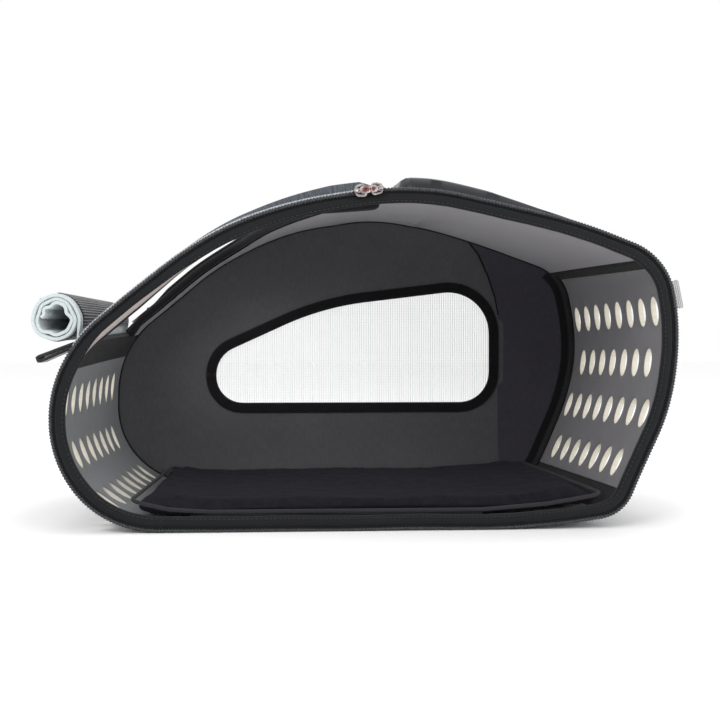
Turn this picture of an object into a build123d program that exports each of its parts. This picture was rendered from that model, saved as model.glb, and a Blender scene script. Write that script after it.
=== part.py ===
"""Soft-sided pet carrier bag with one side zipped off and its sloped window flap rolled down.

Frame: +X along the bag towards the rear end, +Y from the open side to the closed side, +Z up.
The origin is the centre of the base's outer face. All sizes are in millimetres.

The walls follow one closed outline: straight edges joined by tangent arcs. The same outline is
drawn at every depth Y, with each edge moved by its own taper, so that the walls lean in towards
the closed side. A place on the outline is a station: the edge's number, plus 0 to 0.5 along
its straight stretch, plus 0.5 to 1 round the arc that follows it.
"""

from build123d import *
from math import ceil, cos, floor, radians, sin, tan
import os

# Depth of the bag
WIDTH = 240.0
NEAR_Y = -WIDTH / 2
FAR_Y = WIDTH / 2
BAND_THICK = 4.0
WALL_NEAR = NEAR_Y + BAND_THICK
WALL_FAR = FAR_Y - BAND_THICK

# Outline at the open side: heading in degrees, a point on the edge, the radius of the arc
# after it, and how far the edge has moved outwards by the closed side
OUTLINE = [
    (0.0, 0.0, 0.0, 600.0, 0.0),  # base
    (8.0, 180.0, 6.5, 34.0, 0.0),  # base, rising towards the rear
    (66.0, 229.3, 47.6, 204.0, -12.0),  # rear wall, lower part
    (101.0, 257.3, 190.0, 53.0, -16.0),  # rear wall, upper part
    (160.0, 205.0, 244.5, 600.0, -3.0),  # roof, falling towards the rear
    (168.0, 98.5, 273.1, 205.0, 4.0),  # roof
    (189.0, -30.0, 275.5, 280.0, 6.0),  # roof in front of the apex
    (219.5, -187.8, 201.8, 105.0, -3.0),  # slope that holds the window
    (270.0, -260.5, 94.0, 90.0, -15.0),  # front wall
]
SIDES = len(OUTLINE)

# Where one panel ends and the next begins
BASE_START = 8.96
REAR_START = 1.75
ROOF_START = 3.78
FRAME_START = 5.89
FRONT_START = 7.70

# Shell layers, as offsets from the outline
WALL = 5.0
LINING = 6.2
HINGE_BAND = 6.8
BAND_WIDTH = 12.0

# Where the dark hinge bands part one lining from the next
BASE_LINING_END = 1.5
REAR_LINING = (2.0, 3.72)
ROOF_LINING_START = 3.84
FRONT_LINING_START = 7.76

# Flat middle of the base that the bag stands on: X range, half its depth in Y, and its thickness
SOLE = (-150.0, 88.0, 108.0, 2.0)

# Vent slots
SLOT_LENGTH = 26.0
SLOT_WIDTH = 14.5
SLOT_PITCH = 26.0
FRONT_ROWS = (7.936, 8.62, 8.80)
REAR_ROWS = (2.94, 2.756, 2.571, 2.21)
LONG_ROW = 8

# Window in the slope, seen from above: its near and far edges, where its slanting top edge meets
# them, and the radii of those two corners
WINDOW_SILL = 7.62
WINDOW_NEAR = -102.0
WINDOW_FAR = 76.0
WINDOW_TOP_X = -6.0
WINDOW_KNEE_X = -120.0
WINDOW_RADII = (14.0, 40.0)
BINDING_START = 5.85
WINDOW_BINDING_WIDTH = 9.0
WINDOW_BINDING_DEPTH = 9.5

# Padded crown over the window's curved top: (station, height) along it, and its reach in Y
CROWN = [(5.94, 1.5), (5.99, 6), (6.06, 9), (6.4, 9.5), (6.7, 5.2), (6.93, 2.2), (7.5, 1.2)]
CROWN_HALF = 108.0
CROWN_GAP = 3.0

# Roof pocket: (station, height) along its moulded cover, and the cover's reach in Y
POCKET = [(3.92, 3), (4.0, 6), (4.5, 6.5), (4.8, 8.5), (5.136, 12), (5.62, 12), (5.73, 11)]
POCKET += [(5.79, 7), (5.82, 1.5)]
POCKET_NEAR = -93.5
POCKET_FAR = 93.5

# Window in the closed side
BACK_DEPTH = 18.0
BACK_INSET = 28.0
BACK_SKIN = 3.0
BACK_WINDOW = [(-140, 88), (156.5, 88), (156.5, 215.8), (-25, 193.5), (-140, 141)]
BACK_WINDOW_RADII = [30, 34, 46, 300, 32]
BACK_MESH_THICK = 0.8
BACK_BINDING = (9.0, 2.0, 2.6)

# Zip coils and sliders
COIL = 2.8
GAP = 0.3
SLIDER_WALL = 2.0
PIN_R = 0.8
EYE_BORE_R = 0.86
EYE_R = 1.7
PIN_LIFT = EYE_R + 0.4
CHEEK = 1.2
PULL_THICK = 1.3
PULL_WIDTH = 5.6
PULL_NECK = 4.2
PULL_EYE_WIDTH = 2.6
RIM_PULL_LENGTH = 8.6
WINDOW_PULL_LENGTH = 22.0
POCKET_PULL_LENGTH = 20.0

# Lines that the zips follow: their depth in Y, or their stations along the outline
WINDOW_ZIP_Y = -113.0
WINDOW_ZIP_TOP = (5.918, 5.937, 5.96)
WINDOW_ZIP_END = 7.66
POCKET_ZIP_Y = -98.0
POCKET_ZIP = (4.0, 5.78)

# Stations of each slider's two ends, and of its pull's pin
RIM_LEFT = (6.026, 6.153)
RIM_LEFT_PIN = 6.137
RIM_RIGHT = (5.925, 5.992)
RIM_RIGHT_PIN = 5.935
WINDOW_SLIDER = (7.42, 7.5)
WINDOW_PIN = 7.46
POCKET_SLIDER = (5.40, 5.5)
POCKET_PIN = 5.43

# Rolled window flap and its strap
ROLL_R = 21.5
ROLL_NEAR_Y = -104.0
ROLL_LENGTH = 206.0
ROLL_CENTRE = (-258.4, 175.5)
FLAP_SEAM = 7.645
STRAP_SEAM = 7.685
STRAP_TIP = (-277.0, 139.5)
STRAP_THICK = 2.4
STRAP_WIDTH = 25.0

# Floor of the cabin: the board's X and Z ranges and half its depth, and the pad's underside
BOARD = (-148.0, 96.0, 6.5, 11.9, 112.0)
PAD_THICK = 9.0
PAD_CURVE = [(-198, 21), (-165, 14.2), (-130, 12.3), (95, 12.3), (150, 16.5), (199, 24.5)]
PAD_NEAR_Y = -117.0
PAD_FAR_Y = 112.0
PAD_TAPER = 0.93

# Carry handle, shoulder strap rings, and a woven tab at the rear: its two stations, how far it
# stands out, and its Y range
SIDE_TAB = (2.94, 3.56, 8.5, -113.5, -111.5)
HANDLE_HALF = 62.0
HANDLE_PIVOT = (144.4, 244.0)
HANDLE_DROP = 26.0
HANDLE_WEB = 20.0
PATCH = (20.0, 4.0, 2.0)
WEB_WIDTH = 25.0
WEB_THICK = 3.0
BAR_R = 1.2
LUG = 3.0
GRIP = (88.0, 8.4, 22.0)
GRIP_ROUND = 3.5
RING_WIRE = 1.6
RING_LIFT = 4.8
TAB_CLEAR = 1.1
RING_INSIDE = (28.0, 17.0)
FRONT_RING = 7.80
REAR_RING = 3.62


def direction(angle):
    """Unit vector of a heading, as a complex number x + z i."""
    return complex(cos(radians(angle)), sin(radians(angle)))


def heading(i):
    return OUTLINE[i % SIDES][0]


def turn(i):
    """Angle of the arc after edge i."""
    return (heading(i + 1) - heading(i)) % 360


def radius(i, offset):
    return OUTLINE[i % SIDES][3] + offset


def tangent(i, offset):
    """Distance from corner i to either end of its arc."""
    return radius(i, offset) * tan(radians(turn(i) / 2))


def corner(i, y, offset):
    """Where edges i and i + 1 would meet without the arc."""
    lines = []
    for k in (i % SIDES, (i + 1) % SIDES):
        angle, x, z, _, taper = OUTLINE[k]
        outwards = -1j * direction(angle)
        moved = taper * (y - NEAR_Y) / WIDTH + offset
        lines.append((complex(x, z) + outwards * moved, direction(angle)))
    (a, u), (b, v) = lines
    along = ((b - a).conjugate() * v).imag / (u.conjugate() * v).imag
    return a + u * along


def arc_centre(i, y, offset=0.0):
    u = direction(heading(i))
    return corner(i, y, offset) - u * tangent(i, offset) + 1j * u * radius(i, offset)


def angle_at(station):
    i = floor(station)
    share = max(0.0, station - i - 0.5)
    return heading(i) + share * 2 * turn(i)


def spot(station, y, offset=0.0):
    """The point at a station and depth, offset outwards from the outline."""
    i = floor(station)
    share = station - i
    u = direction(heading(i))
    if share <= 0.5:
        start = corner(i - 1, y, offset) + u * tangent(i - 1, offset)
        end = corner(i, y, offset) - u * tangent(i, offset)
        p = start + (end - start) * share * 2
    else:
        p = arc_centre(i, y, offset) - 1j * direction(angle_at(station)) * radius(i, offset)
    return Vector(p.real, y, p.imag)


def along(station):
    d = direction(angle_at(station))
    return Vector(d.real, 0, d.imag)


def outward(station):
    n = -1j * direction(angle_at(station))
    return Vector(n.real, 0, n.imag)


def run(start, end, y, offset):
    """Edges along the outline between two stations, in either direction."""
    low, high = min(start, end), max(start, end)
    inner = [k / 2 for k in range(floor(low * 2) + 1, ceil(high * 2))]
    stops = [low, *inner, high]
    if start > end:
        stops.reverse()
    edges = []
    for a, b in zip(stops, stops[1:]):
        p, q = spot(a, y, offset), spot(b, y, offset)
        if floor(min(a, b) * 2) % 2:
            edges.append(Edge.make_three_point_arc(p, spot((a + b) / 2, y, offset), q))
        else:
            edges.append(Edge.make_line(p, q))
    return edges


def strip(start, end, inner, outer, y0=WALL_NEAR, y1=WALL_FAR):
    """A length of wall between two offsets and two depths."""
    wires = []
    for y in (y0, y1):
        edges = run(start, end, y, outer) + run(end, start, y, inner)
        edges.append(Edge.make_line(spot(end, y, outer), spot(end, y, inner)))
        edges.append(Edge.make_line(spot(start, y, inner), spot(start, y, outer)))
        wires.append(Wire(edges))
    return Solid.make_loft(wires, ruled=True)


def pad_strip(heights, y0, y1):
    """A raised pad on the outline whose height follows (station, height) points."""
    start, end = heights[0][0], heights[-1][0]
    wires = []
    for y in (y0, y1):
        top = [spot(station, y, height) for station, height in heights]
        edges = run(start, end, y, 0.0)
        edges += [Edge.make_line(p, q) for p, q in zip(top, top[1:])]
        edges.append(Edge.make_line(spot(start, y), top[0]))
        edges.append(Edge.make_line(top[-1], spot(end, y)))
        wires.append(Wire(edges))
    return Solid.make_loft(wires, ruled=True)


def loop(y, offset, at=None):
    """The closed outline, drawn at depth `at` with the shape it has at depth y."""
    wire = Wire(run(0, SIDES, y, offset))
    return wire.moved(Location((0, (y if at is None else at) - y, 0)))


def ring(inner, outer, y0, y1):
    """A closed band that follows the whole outline."""
    full = Solid.make_loft([loop(y0, outer), loop(y1, outer)], ruled=True)
    return full - Solid.make_loft([loop(y0, inner), loop(y1, inner)], ruled=True)


def upright(sketch, low=-50.0, high=400.0):
    """A vertical prism on a plan drawn in X and Y."""
    return extrude(Pos(0, 0, low) * sketch, amount=high - low)


def plan(x0, x1, y0, y1, corner_r=0.0):
    """A rectangle seen from above, with round corners at its +X end."""
    shape = Pos((x0 + x1) / 2, (y0 + y1) / 2) * Rectangle(x1 - x0, y1 - y0)
    if corner_r:
        shape = fillet(shape.vertices().group_by(Axis.X)[-1], corner_r)
    return shape


def block(x0, x1, y0, y1, z0, z1):
    return Pos((x0 + x1) / 2, (y0 + y1) / 2, (z0 + z1) / 2) * Box(x1 - x0, y1 - y0, z1 - z0)


def upright_face(points, y, radii=None):
    """A flat face in the XZ plane at depth y."""
    plane = Plane((0, y, 0), x_dir=(1, 0, 0), z_dir=(0, -1, 0))
    if radii:
        line = FilletPolyline(*points, radius=radii, close=True)
        return plane * make_face(line)
    return plane * make_face(Polyline(*points, close=True))


def save(name, shape):
    export_step(shape, f"parts/{name}.step")


def slot_cutters(rows):
    """Elliptical cutters: full rows, with one slot fewer in each row between."""
    cutters = []
    for k, station in enumerate(rows):
        count = LONG_ROW - k % 2
        for j in range(count):
            y = (j - (count - 1) / 2) * SLOT_PITCH
            plane = Plane(spot(station, y, -WALL / 2), x_dir=along(station), z_dir=outward(station))
            oval = plane * Ellipse(SLOT_LENGTH / 2, SLOT_WIDTH / 2)
            cutters.append(extrude(oval, amount=WALL + 3, both=True))
    return cutters


def window_plan(grow):
    """The window's outline from above, open past the sill, grown by a margin."""
    corners = [
        (-400, WINDOW_NEAR),
        (WINDOW_TOP_X, WINDOW_NEAR),
        (WINDOW_KNEE_X, WINDOW_FAR),
        (-400, WINDOW_FAR),
    ]
    near_r, far_r = WINDOW_RADII
    face = make_face(FilletPolyline(*corners, radius=[1, near_r, far_r, 1], close=True))
    return offset(face, amount=grow) if grow else face


def window_hole(grow=0.0):
    """Cutter for the window in the slope, up to the sill."""
    outline_part = strip(5.4, WINDOW_SILL, -30, 30, -140, 140)
    return outline_part & upright(window_plan(grow))


def rim_slider(s0, s1):
    """A zip slider on the coil that lies on the face of the rim band."""
    middle, half = -COIL / 2, COIL / 2 + GAP
    front = NEAR_Y - COIL - GAP - SLIDER_WALL
    low, high = middle - half - SLIDER_WALL, middle + half + SLIDER_WALL
    body = strip(s0, s1, low, high, front, NEAR_Y - GAP)
    channel = strip(s0 - 0.01, s1 + 0.01, middle - half, middle + half, front + SLIDER_WALL, NEAR_Y)
    return body - channel


def wall_slider(s0, s1, y):
    """A zip slider on a coil that lies on the outside of the wall at depth y."""
    half = COIL / 2 + GAP
    top = COIL + GAP + SLIDER_WALL
    body = strip(s0, s1, GAP, top, y - half - SLIDER_WALL, y + half + SLIDER_WALL)
    return body - strip(s0 - 0.01, s1 + 0.01, 0, COIL + GAP, y - half, y + half)


def wall_coil(s0, s1, y):
    return strip(s0, s1, 0, COIL, y - COIL / 2, y + COIL / 2)


def pull_frame(surface_point, tab, up):
    """Plane at a pull's pin: x along the tab, y along the pin, z away from the slider."""
    return Plane(surface_point + up * PIN_LIFT, x_dir=tab, z_dir=up)


def pull(frame, length):
    """A pull tab whose eye turns on the pin; it lies along the frame's x axis."""
    eye = Rot(90, 0, 0) * Cylinder(EYE_R, PULL_EYE_WIDTH)
    neck = Pos(EYE_R + 1.2, 0, 0) * Box(3.4, PULL_EYE_WIDTH, PULL_THICK)
    tab_length = length - PULL_NECK
    tab = Pos(PULL_NECK + tab_length / 2, 0, 0) * Box(tab_length, PULL_WIDTH, PULL_THICK)
    bore = Rot(90, 0, 0) * Cylinder(EYE_BORE_R, 2 * PULL_EYE_WIDTH)
    return frame * (eye + neck + tab - bore)


def pin_bridge(frame):
    """Two cheeks on the slider and the pin between them."""
    spread = PULL_EYE_WIDTH / 2 + GAP
    cheek = Box(2.6, CHEEK, PIN_LIFT + 1.2)
    shape = Rot(90, 0, 0) * Cylinder(PIN_R, 2 * spread + 2 * CHEEK)
    for side in (-1, 1):
        shape += Pos(0, side * (spread + CHEEK / 2), 0.6 - PIN_LIFT / 2) * cheek
    return frame * shape


# Faces of the sliders that the pulls' pins stand on
RIM_FRONT = NEAR_Y - COIL - GAP - SLIDER_WALL
WALL_TOP = COIL + GAP + SLIDER_WALL


def rim_pull_frame(station, tab):
    return pull_frame(spot(station, RIM_FRONT, -COIL / 2), tab, Vector(0, -1, 0))


def wall_pull_frame(station, y, tab):
    return pull_frame(spot(station, y, WALL_TOP), tab, outward(station))


RIM_LEFT_FRAME = rim_pull_frame(RIM_LEFT_PIN, -along(RIM_LEFT_PIN))
RIM_RIGHT_FRAME = rim_pull_frame(RIM_RIGHT_PIN, along(RIM_RIGHT_PIN))
WINDOW_FRAME = wall_pull_frame(WINDOW_PIN, -WINDOW_ZIP_Y, along(WINDOW_PIN))
POCKET_FRAME = wall_pull_frame(POCKET_PIN, -POCKET_ZIP_Y, -along(POCKET_PIN))

# The flap's seam runs along the sill, which leans with the walls
SILL_WAY = (spot(FLAP_SEAM, FAR_Y) - spot(FLAP_SEAM, NEAR_Y)).normalized()
FLAP_AXIS = spot(FLAP_SEAM, ROLL_NEAR_Y, 2.2)
STRAP_AXIS = spot(STRAP_SEAM, ROLL_NEAR_Y, 2.4)


def sill_prism(points, length):
    """An XZ outline at the roll's near end, run along the sill."""
    return extrude(upright_face(points, ROLL_NEAR_Y), amount=length, dir=SILL_WAY)


def flap_roll():
    x, z = ROLL_CENTRE
    plane = Plane((x, ROLL_NEAR_Y, z), x_dir=(1, 0, 0), z_dir=(0, -1, 0))
    roll = extrude(plane * Circle(ROLL_R), amount=ROLL_LENGTH, dir=SILL_WAY)
    centre = Vector(x, ROLL_NEAR_Y, z)
    reach = (FLAP_AXIS - centre).normalized()
    aside = Vector(-reach.Z, 0, reach.X)
    inside = centre + reach * (ROLL_R - 4)
    web = [inside + aside, FLAP_AXIS + aside, FLAP_AXIS - aside, inside - aside]
    return roll + sill_prism([(p.X, p.Z) for p in web], ROLL_LENGTH)


def flap_strap():
    tip = Vector(STRAP_TIP[0], ROLL_NEAR_Y, STRAP_TIP[1])
    way = (tip - STRAP_AXIS).normalized()
    aside = Vector(-way.Z, 0, way.X) * (STRAP_THICK / 2)
    corners = [STRAP_AXIS + aside, tip + aside, tip - aside, STRAP_AXIS - aside]
    return sill_prism([(p.X, p.Z) for p in corners], STRAP_WIDTH)


def base_pad():
    wires = []
    for y, scale in ((PAD_NEAR_Y, 1.0), (PAD_FAR_Y, PAD_TAPER)):
        under = [(x * scale, z) for x, z in PAD_CURVE]
        over = [(x, z + PAD_THICK) for x, z in reversed(under)]
        wires.append(upright_face(under + over, y).face().outer_wire())
    return Solid.make_loft(wires, ruled=True)


def ring_frame(station, down):
    """Plane at a shoulder strap ring's bar: x along the bar, y down the wall, z outwards."""
    up = outward(station)
    return Plane(spot(station, 0) + up * RING_LIFT, x_dir=down.cross(up), z_dir=up)


FRONT_RING_FRAME = ring_frame(FRONT_RING, along(FRONT_RING))
REAR_RING_FRAME = ring_frame(REAR_RING, -along(REAR_RING))


def ring_tab(frame):
    """A folded webbing tab sewn to the wall, with the ring's bar through it."""
    low, high = TAB_CLEAR - RING_LIFT, 3.0
    tab = Pos(0, 0, (low + high) / 2) * Box(WEB_WIDTH, 8.0, high - low)
    return frame * (tab - Rot(0, 90, 0) * Cylinder(RING_WIRE + GAP, 2 * WEB_WIDTH))


def d_ring(frame):
    half = RING_INSIDE[0] / 2 + RING_WIRE
    deep = RING_INSIDE[1] + 2 * RING_WIRE
    corners = [(-half, 0), (half, 0), (half, deep), (-half, deep)]
    path = FilletPolyline(*corners, radius=[3, 3, 9, 9], close=True)
    start = Plane((0, 0, 0), x_dir=(0, 1, 0), z_dir=(1, 0, 0))
    return frame * sweep(start * Circle(RING_WIRE), path=path)


def handle():
    """Webbing bent into a flat U, with an eye at each end round the anchor's bar."""
    y, z = HANDLE_PIVOT
    low = z - HANDLE_DROP
    thick = WEB_THICK / 2
    half = HANDLE_WEB / 2
    outer = HANDLE_HALF + half
    shape = block(-outer, outer, y - thick, y + thick, low - half, low + half)
    for side in (-1, 1):
        x = side * HANDLE_HALF
        shape += block(x - half, x + half, y - thick, y + thick, low, z)
        shape += Pos(x, y, z) * Rot(0, 90, 0) * Cylinder(WEB_THICK, HANDLE_WEB)
        shape -= Pos(x, y, z) * Rot(0, 90, 0) * Cylinder(BAR_R + GAP, 2 * HANDLE_WEB)
    return shape


def handle_grip():
    y, z = HANDLE_PIVOT
    long, thick, wide = GRIP
    low = z - HANDLE_DROP
    grip = Pos(0, y, low) * Box(long, thick, wide)
    grip = fillet(grip.edges().filter_by(Axis.X), GRIP_ROUND)
    return grip - Pos(0, y, low) * Box(long + 10, WEB_THICK, HANDLE_WEB)


def handle_anchors():
    """A sewn patch with two lugs and a bar for each end of the handle."""
    y, z = HANDLE_PIVOT
    below, above, thick = PATCH
    back = FAR_Y + BACK_DEPTH
    half = HANDLE_WEB / 2 + GAP
    outer = half + LUG
    shapes = []
    for side in (-1, 1):
        x = side * HANDLE_HALF
        part = block(x - outer, x + outer, back, back + thick, z - below, z + above)
        for end in (-1, 1):
            middle = x + end * (half + LUG / 2)
            part += block(middle - LUG / 2, middle + LUG / 2, back, y + 2.5, z - 2.5, z + 2.5)
        part += Pos(x, y, z) * Rot(0, 90, 0) * Cylinder(BAR_R, 2 * half + LUG)
        shapes.append(part)
    return Compound(children=[s.solid() for s in shapes])


os.makedirs("parts", exist_ok=True)

# Shell. The base's middle is cut out and filled again, so that it stands on one true plane
base = strip(BASE_START, SIDES + REAR_START, -WALL, 0)
sole_x0, sole_x1, sole_half, sole_thick = SOLE
base -= block(sole_x0, sole_x1, -sole_half, sole_half, -1, sole_thick)
base += block(sole_x0, sole_x1, -sole_half, sole_half, 0, sole_thick)
save("base_panel", base)
save("front_wall", strip(FRONT_START, BASE_START, -WALL, 0) - slot_cutters(FRONT_ROWS))
save("rear_wall", strip(REAR_START, ROOF_START, -WALL, 0) - slot_cutters(REAR_ROWS))
save("roof_panel", strip(ROOF_START, FRAME_START, -WALL, 0))
save("window_frame", strip(FRAME_START, FRONT_START, -WALL, 0) - window_hole(WINDOW_BINDING_WIDTH))
save("near_rim_band", ring(-BAND_WIDTH, 0, NEAR_Y, WALL_NEAR))
save("far_rim_band", ring(-LINING, 0, WALL_FAR, FAR_Y))
save("rim_zip_coil", ring(-COIL, 0, NEAR_Y - COIL, NEAR_Y))

# Linings and the fabric hinges between them
rear_lining_start, rear_lining_end = REAR_LINING
save("base_lining", strip(BASE_START, SIDES + BASE_LINING_END, -LINING, -WALL))
front_lining = strip(FRONT_LINING_START, BASE_START, -LINING, -WALL)
save("front_lining", front_lining - slot_cutters(FRONT_ROWS))
rear_lining = strip(rear_lining_start, rear_lining_end, -LINING, -WALL)
save("rear_lining", rear_lining - slot_cutters(REAR_ROWS))
save("roof_lining", strip(ROOF_LINING_START, FRAME_START, -LINING, -WALL))
frame_lining = strip(FRAME_START, WINDOW_SILL, -LINING, -WALL)
save("frame_lining", frame_lining - window_hole(WINDOW_BINDING_WIDTH))
save("sill_hinge_band", strip(WINDOW_SILL, FRONT_LINING_START, -HINGE_BAND, -WALL))
save("rear_top_hinge_band", strip(rear_lining_end, ROOF_LINING_START, -HINGE_BAND, -WALL))
save("rear_bottom_hinge_band", strip(BASE_LINING_END, rear_lining_start, -HINGE_BAND, -WALL))

# Sloped window
tube = strip(BINDING_START, WINDOW_SILL, -WINDOW_BINDING_DEPTH, 0)
tube &= upright(window_plan(WINDOW_BINDING_WIDTH))
save("window_binding", tube - window_hole())
save("window_crown", pad_strip(CROWN, -CROWN_HALF, CROWN_HALF) - window_hole(CROWN_GAP))
cross_start, cross_end, side_start = WINDOW_ZIP_TOP
coil_near, coil_far = WINDOW_ZIP_Y - COIL / 2, COIL / 2 - WINDOW_ZIP_Y
coil = strip(cross_start, cross_end, 0, COIL, coil_near, coil_far)
for coil_y in (WINDOW_ZIP_Y, -WINDOW_ZIP_Y):
    coil += wall_coil(cross_end, side_start, coil_y) + wall_coil(side_start, WINDOW_ZIP_END, coil_y)
save("window_zip_coil", coil)

# Roof pocket
save("roof_pocket_cover", pad_strip(POCKET, POCKET_NEAR, POCKET_FAR))
pocket_coils = [wall_coil(*POCKET_ZIP, coil_y) for coil_y in (POCKET_ZIP_Y, -POCKET_ZIP_Y)]
save("roof_pocket_coil", pocket_coils[0] + pocket_coils[1])

# Closed side
inside = [loop(FAR_Y, -BACK_SKIN), loop(FAR_Y, -BACK_INSET - 2, FAR_Y + BACK_DEPTH - BACK_SKIN)]
outside = [loop(FAR_Y, 0), loop(FAR_Y, -BACK_INSET, FAR_Y + BACK_DEPTH)]
tray = Solid.make_loft(outside, ruled=True) - Solid.make_loft(inside, ruled=True)
back_window = upright_face(BACK_WINDOW, 0, BACK_WINDOW_RADII)


def back_plate(face, y0, y1):
    return extrude(Pos(0, y0, 0) * face, amount=y1 - y0, dir=(0, 1, 0))


back_face = FAR_Y + BACK_DEPTH
save("back_panel", tray - back_plate(back_window, FAR_Y, back_face + 1))
mesh_y = back_face - 1
save("back_mesh", back_plate(back_window, mesh_y - BACK_MESH_THICK, mesh_y))
binding_outside, binding_inside, binding_thick = BACK_BINDING
rim_face = offset(back_window, amount=binding_outside)
rim_hole = offset(back_window, amount=-binding_inside)
rim_y = back_face - BACK_SKIN
rim_hole_cut = back_plate(rim_hole, rim_y - binding_thick - 1, rim_y + 1)
save("back_window_binding", back_plate(rim_face, rim_y - binding_thick, rim_y) - rim_hole_cut)

# Floor and small fixed pieces
board_x0, board_x1, board_z0, board_z1, board_half = BOARD
save("floor_board", block(board_x0, board_x1, -board_half, board_half, board_z0, board_z1))
tab_start, tab_end, tab_reach, tab_y0, tab_y1 = SIDE_TAB
save("side_tab", strip(tab_start, tab_end, 0, tab_reach, tab_y0, tab_y1))
save("front_ring_tab", ring_tab(FRONT_RING_FRAME))
save("rear_ring_tab", ring_tab(REAR_RING_FRAME))
save("handle_anchors", handle_anchors())

# Moving pieces
save("rim_slider_left", rim_slider(*RIM_LEFT) + pin_bridge(RIM_LEFT_FRAME))
save("rim_slider_right", rim_slider(*RIM_RIGHT) + pin_bridge(RIM_RIGHT_FRAME))
save("rim_pull_left", pull(RIM_LEFT_FRAME, RIM_PULL_LENGTH))
save("rim_pull_right", pull(RIM_RIGHT_FRAME, RIM_PULL_LENGTH))
save("window_slider", wall_slider(*WINDOW_SLIDER, -WINDOW_ZIP_Y) + pin_bridge(WINDOW_FRAME))
save("window_pull", pull(WINDOW_FRAME, WINDOW_PULL_LENGTH))
save("pocket_slider", wall_slider(*POCKET_SLIDER, -POCKET_ZIP_Y) + pin_bridge(POCKET_FRAME))
save("pocket_pull", pull(POCKET_FRAME, POCKET_PULL_LENGTH))
save("flap_roll", flap_roll())
save("flap_strap", flap_strap())
save("base_pad", base_pad())
save("front_d_ring", d_ring(FRONT_RING_FRAME))
save("rear_d_ring", d_ring(REAR_RING_FRAME))
save("rear_handle", handle())
save("handle_grip", handle_grip())
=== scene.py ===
import math

import bmesh
import bpy
import numpy as np
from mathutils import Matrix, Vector, noise
from mathutils.geometry import delaunay_2d_cdt


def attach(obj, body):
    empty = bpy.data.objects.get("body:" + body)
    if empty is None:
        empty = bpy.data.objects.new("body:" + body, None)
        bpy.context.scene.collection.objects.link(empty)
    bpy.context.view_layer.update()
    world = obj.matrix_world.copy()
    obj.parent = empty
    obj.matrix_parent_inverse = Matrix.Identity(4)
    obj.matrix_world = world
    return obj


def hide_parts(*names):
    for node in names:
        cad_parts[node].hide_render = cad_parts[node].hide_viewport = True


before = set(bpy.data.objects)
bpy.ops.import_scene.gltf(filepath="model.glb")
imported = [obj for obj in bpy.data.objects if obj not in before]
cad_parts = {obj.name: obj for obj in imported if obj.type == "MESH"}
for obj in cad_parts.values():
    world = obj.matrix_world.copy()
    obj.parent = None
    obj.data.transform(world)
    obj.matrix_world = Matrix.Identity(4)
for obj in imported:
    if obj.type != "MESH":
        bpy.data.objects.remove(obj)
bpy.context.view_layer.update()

# Lengths are in millimetres up to the mesh, which is in metres.
MM = 0.001
WIDTH = 240.0
NEAR_Y = -WIDTH / 2
FAR_Y = WIDTH / 2
WALL_NEAR = NEAR_Y + 4.0
WALL_FAR = FAR_Y - 4.0
NEARWARD = np.array([0.0, -1.0, 0.0])
FARWARD = -NEARWARD
UPWARD = np.array([0.0, 0.0, 1.0])

# The bag's outline, as in the CAD: heading, a point on the edge, the radius of the arc after
# it, and how far the edge has moved outwards at the closed side
OUTLINE = [
    (0.0, 0.0, 0.0, 600.0, 0.0),
    (8.0, 180.0, 6.5, 34.0, 0.0),
    (66.0, 229.3, 47.6, 204.0, -12.0),
    (101.0, 257.3, 190.0, 53.0, -16.0),
    (160.0, 205.0, 244.5, 600.0, -3.0),
    (168.0, 98.5, 273.1, 205.0, 4.0),
    (189.0, -30.0, 275.5, 280.0, 6.0),
    (219.5, -187.8, 201.8, 105.0, -3.0),
    (270.0, -260.5, 94.0, 90.0, -15.0),
]
SIDES = len(OUTLINE)

# Stations where panels meet, as in the CAD: the edge's number, and 0.5 to 1 for the arc after it
BASE_START = 8.96
REAR_START = 1.75
ROOF_START = 3.78
FRAME_START = 5.89
FRONT_START = 7.70
SILL = 7.62

WALL = 5.0
LINING = 6.2
SLOT_LONG, SLOT_WIDE, SLOT_PITCH, SLOTS_IN_ROW = 26.0, 14.5, 26.0, 8
FRONT_ROWS = (7.936, 8.62, 8.80)
REAR_ROWS = (2.94, 2.756, 2.571, 2.21)
# The window from above: the ends of its slanting top edge, and the radii of its two corners
WINDOW_PLAN = ((-6.0, -102.0), (-120.0, 76.0))
WINDOW_RADII = (14.0, 40.0)
BACK_DEPTH = 18.0
BACK_DOME = 55.0
BACK_WINDOW = [(-140, 88), (156.5, 88), (156.5, 215.8), (-25, 193.5), (-140, 141)]
BACK_WINDOW_RADII = [30, 34, 46, 300, 32]
ZIP_Y = -113.0
POCKET_ZIP_Y = -98.0


# ---------------------------------------------------------------- outline

def direction(angle):
    return complex(math.cos(math.radians(angle)), math.sin(math.radians(angle)))


def heading(i):
    return OUTLINE[i % SIDES][0]


def turn(i):
    return (heading(i + 1) - heading(i)) % 360


def tangent(i):
    return OUTLINE[i % SIDES][3] * math.tan(math.radians(turn(i) / 2))


def corner(i, depth):
    lines = []
    for k in (i % SIDES, (i + 1) % SIDES):
        angle, x, z, _, taper = OUTLINE[k]
        lines.append((complex(x, z) - 1j * direction(angle) * taper * depth, direction(angle)))
    (a, u), (b, v) = lines
    along = ((b - a).conjugate() * v).imag / (u.conjugate() * v).imag
    return a + u * along


def outline_point(station, depth):
    """Point and outward normal at a station, with depth 0 at the open side and 1 at the closed."""
    i = math.floor(station)
    share = station - i
    u = direction(heading(i))
    end = corner(i, depth) - u * tangent(i)
    if share <= 0.5:
        start = corner(i - 1, depth) + u * tangent(i - 1)
        return start + (end - start) * share * 2, -1j * u
    radius = OUTLINE[i % SIDES][3]
    out = -1j * direction(heading(i) + (share - 0.5) * 2 * turn(i))
    return end + 1j * u * radius + out * radius, out


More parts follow.
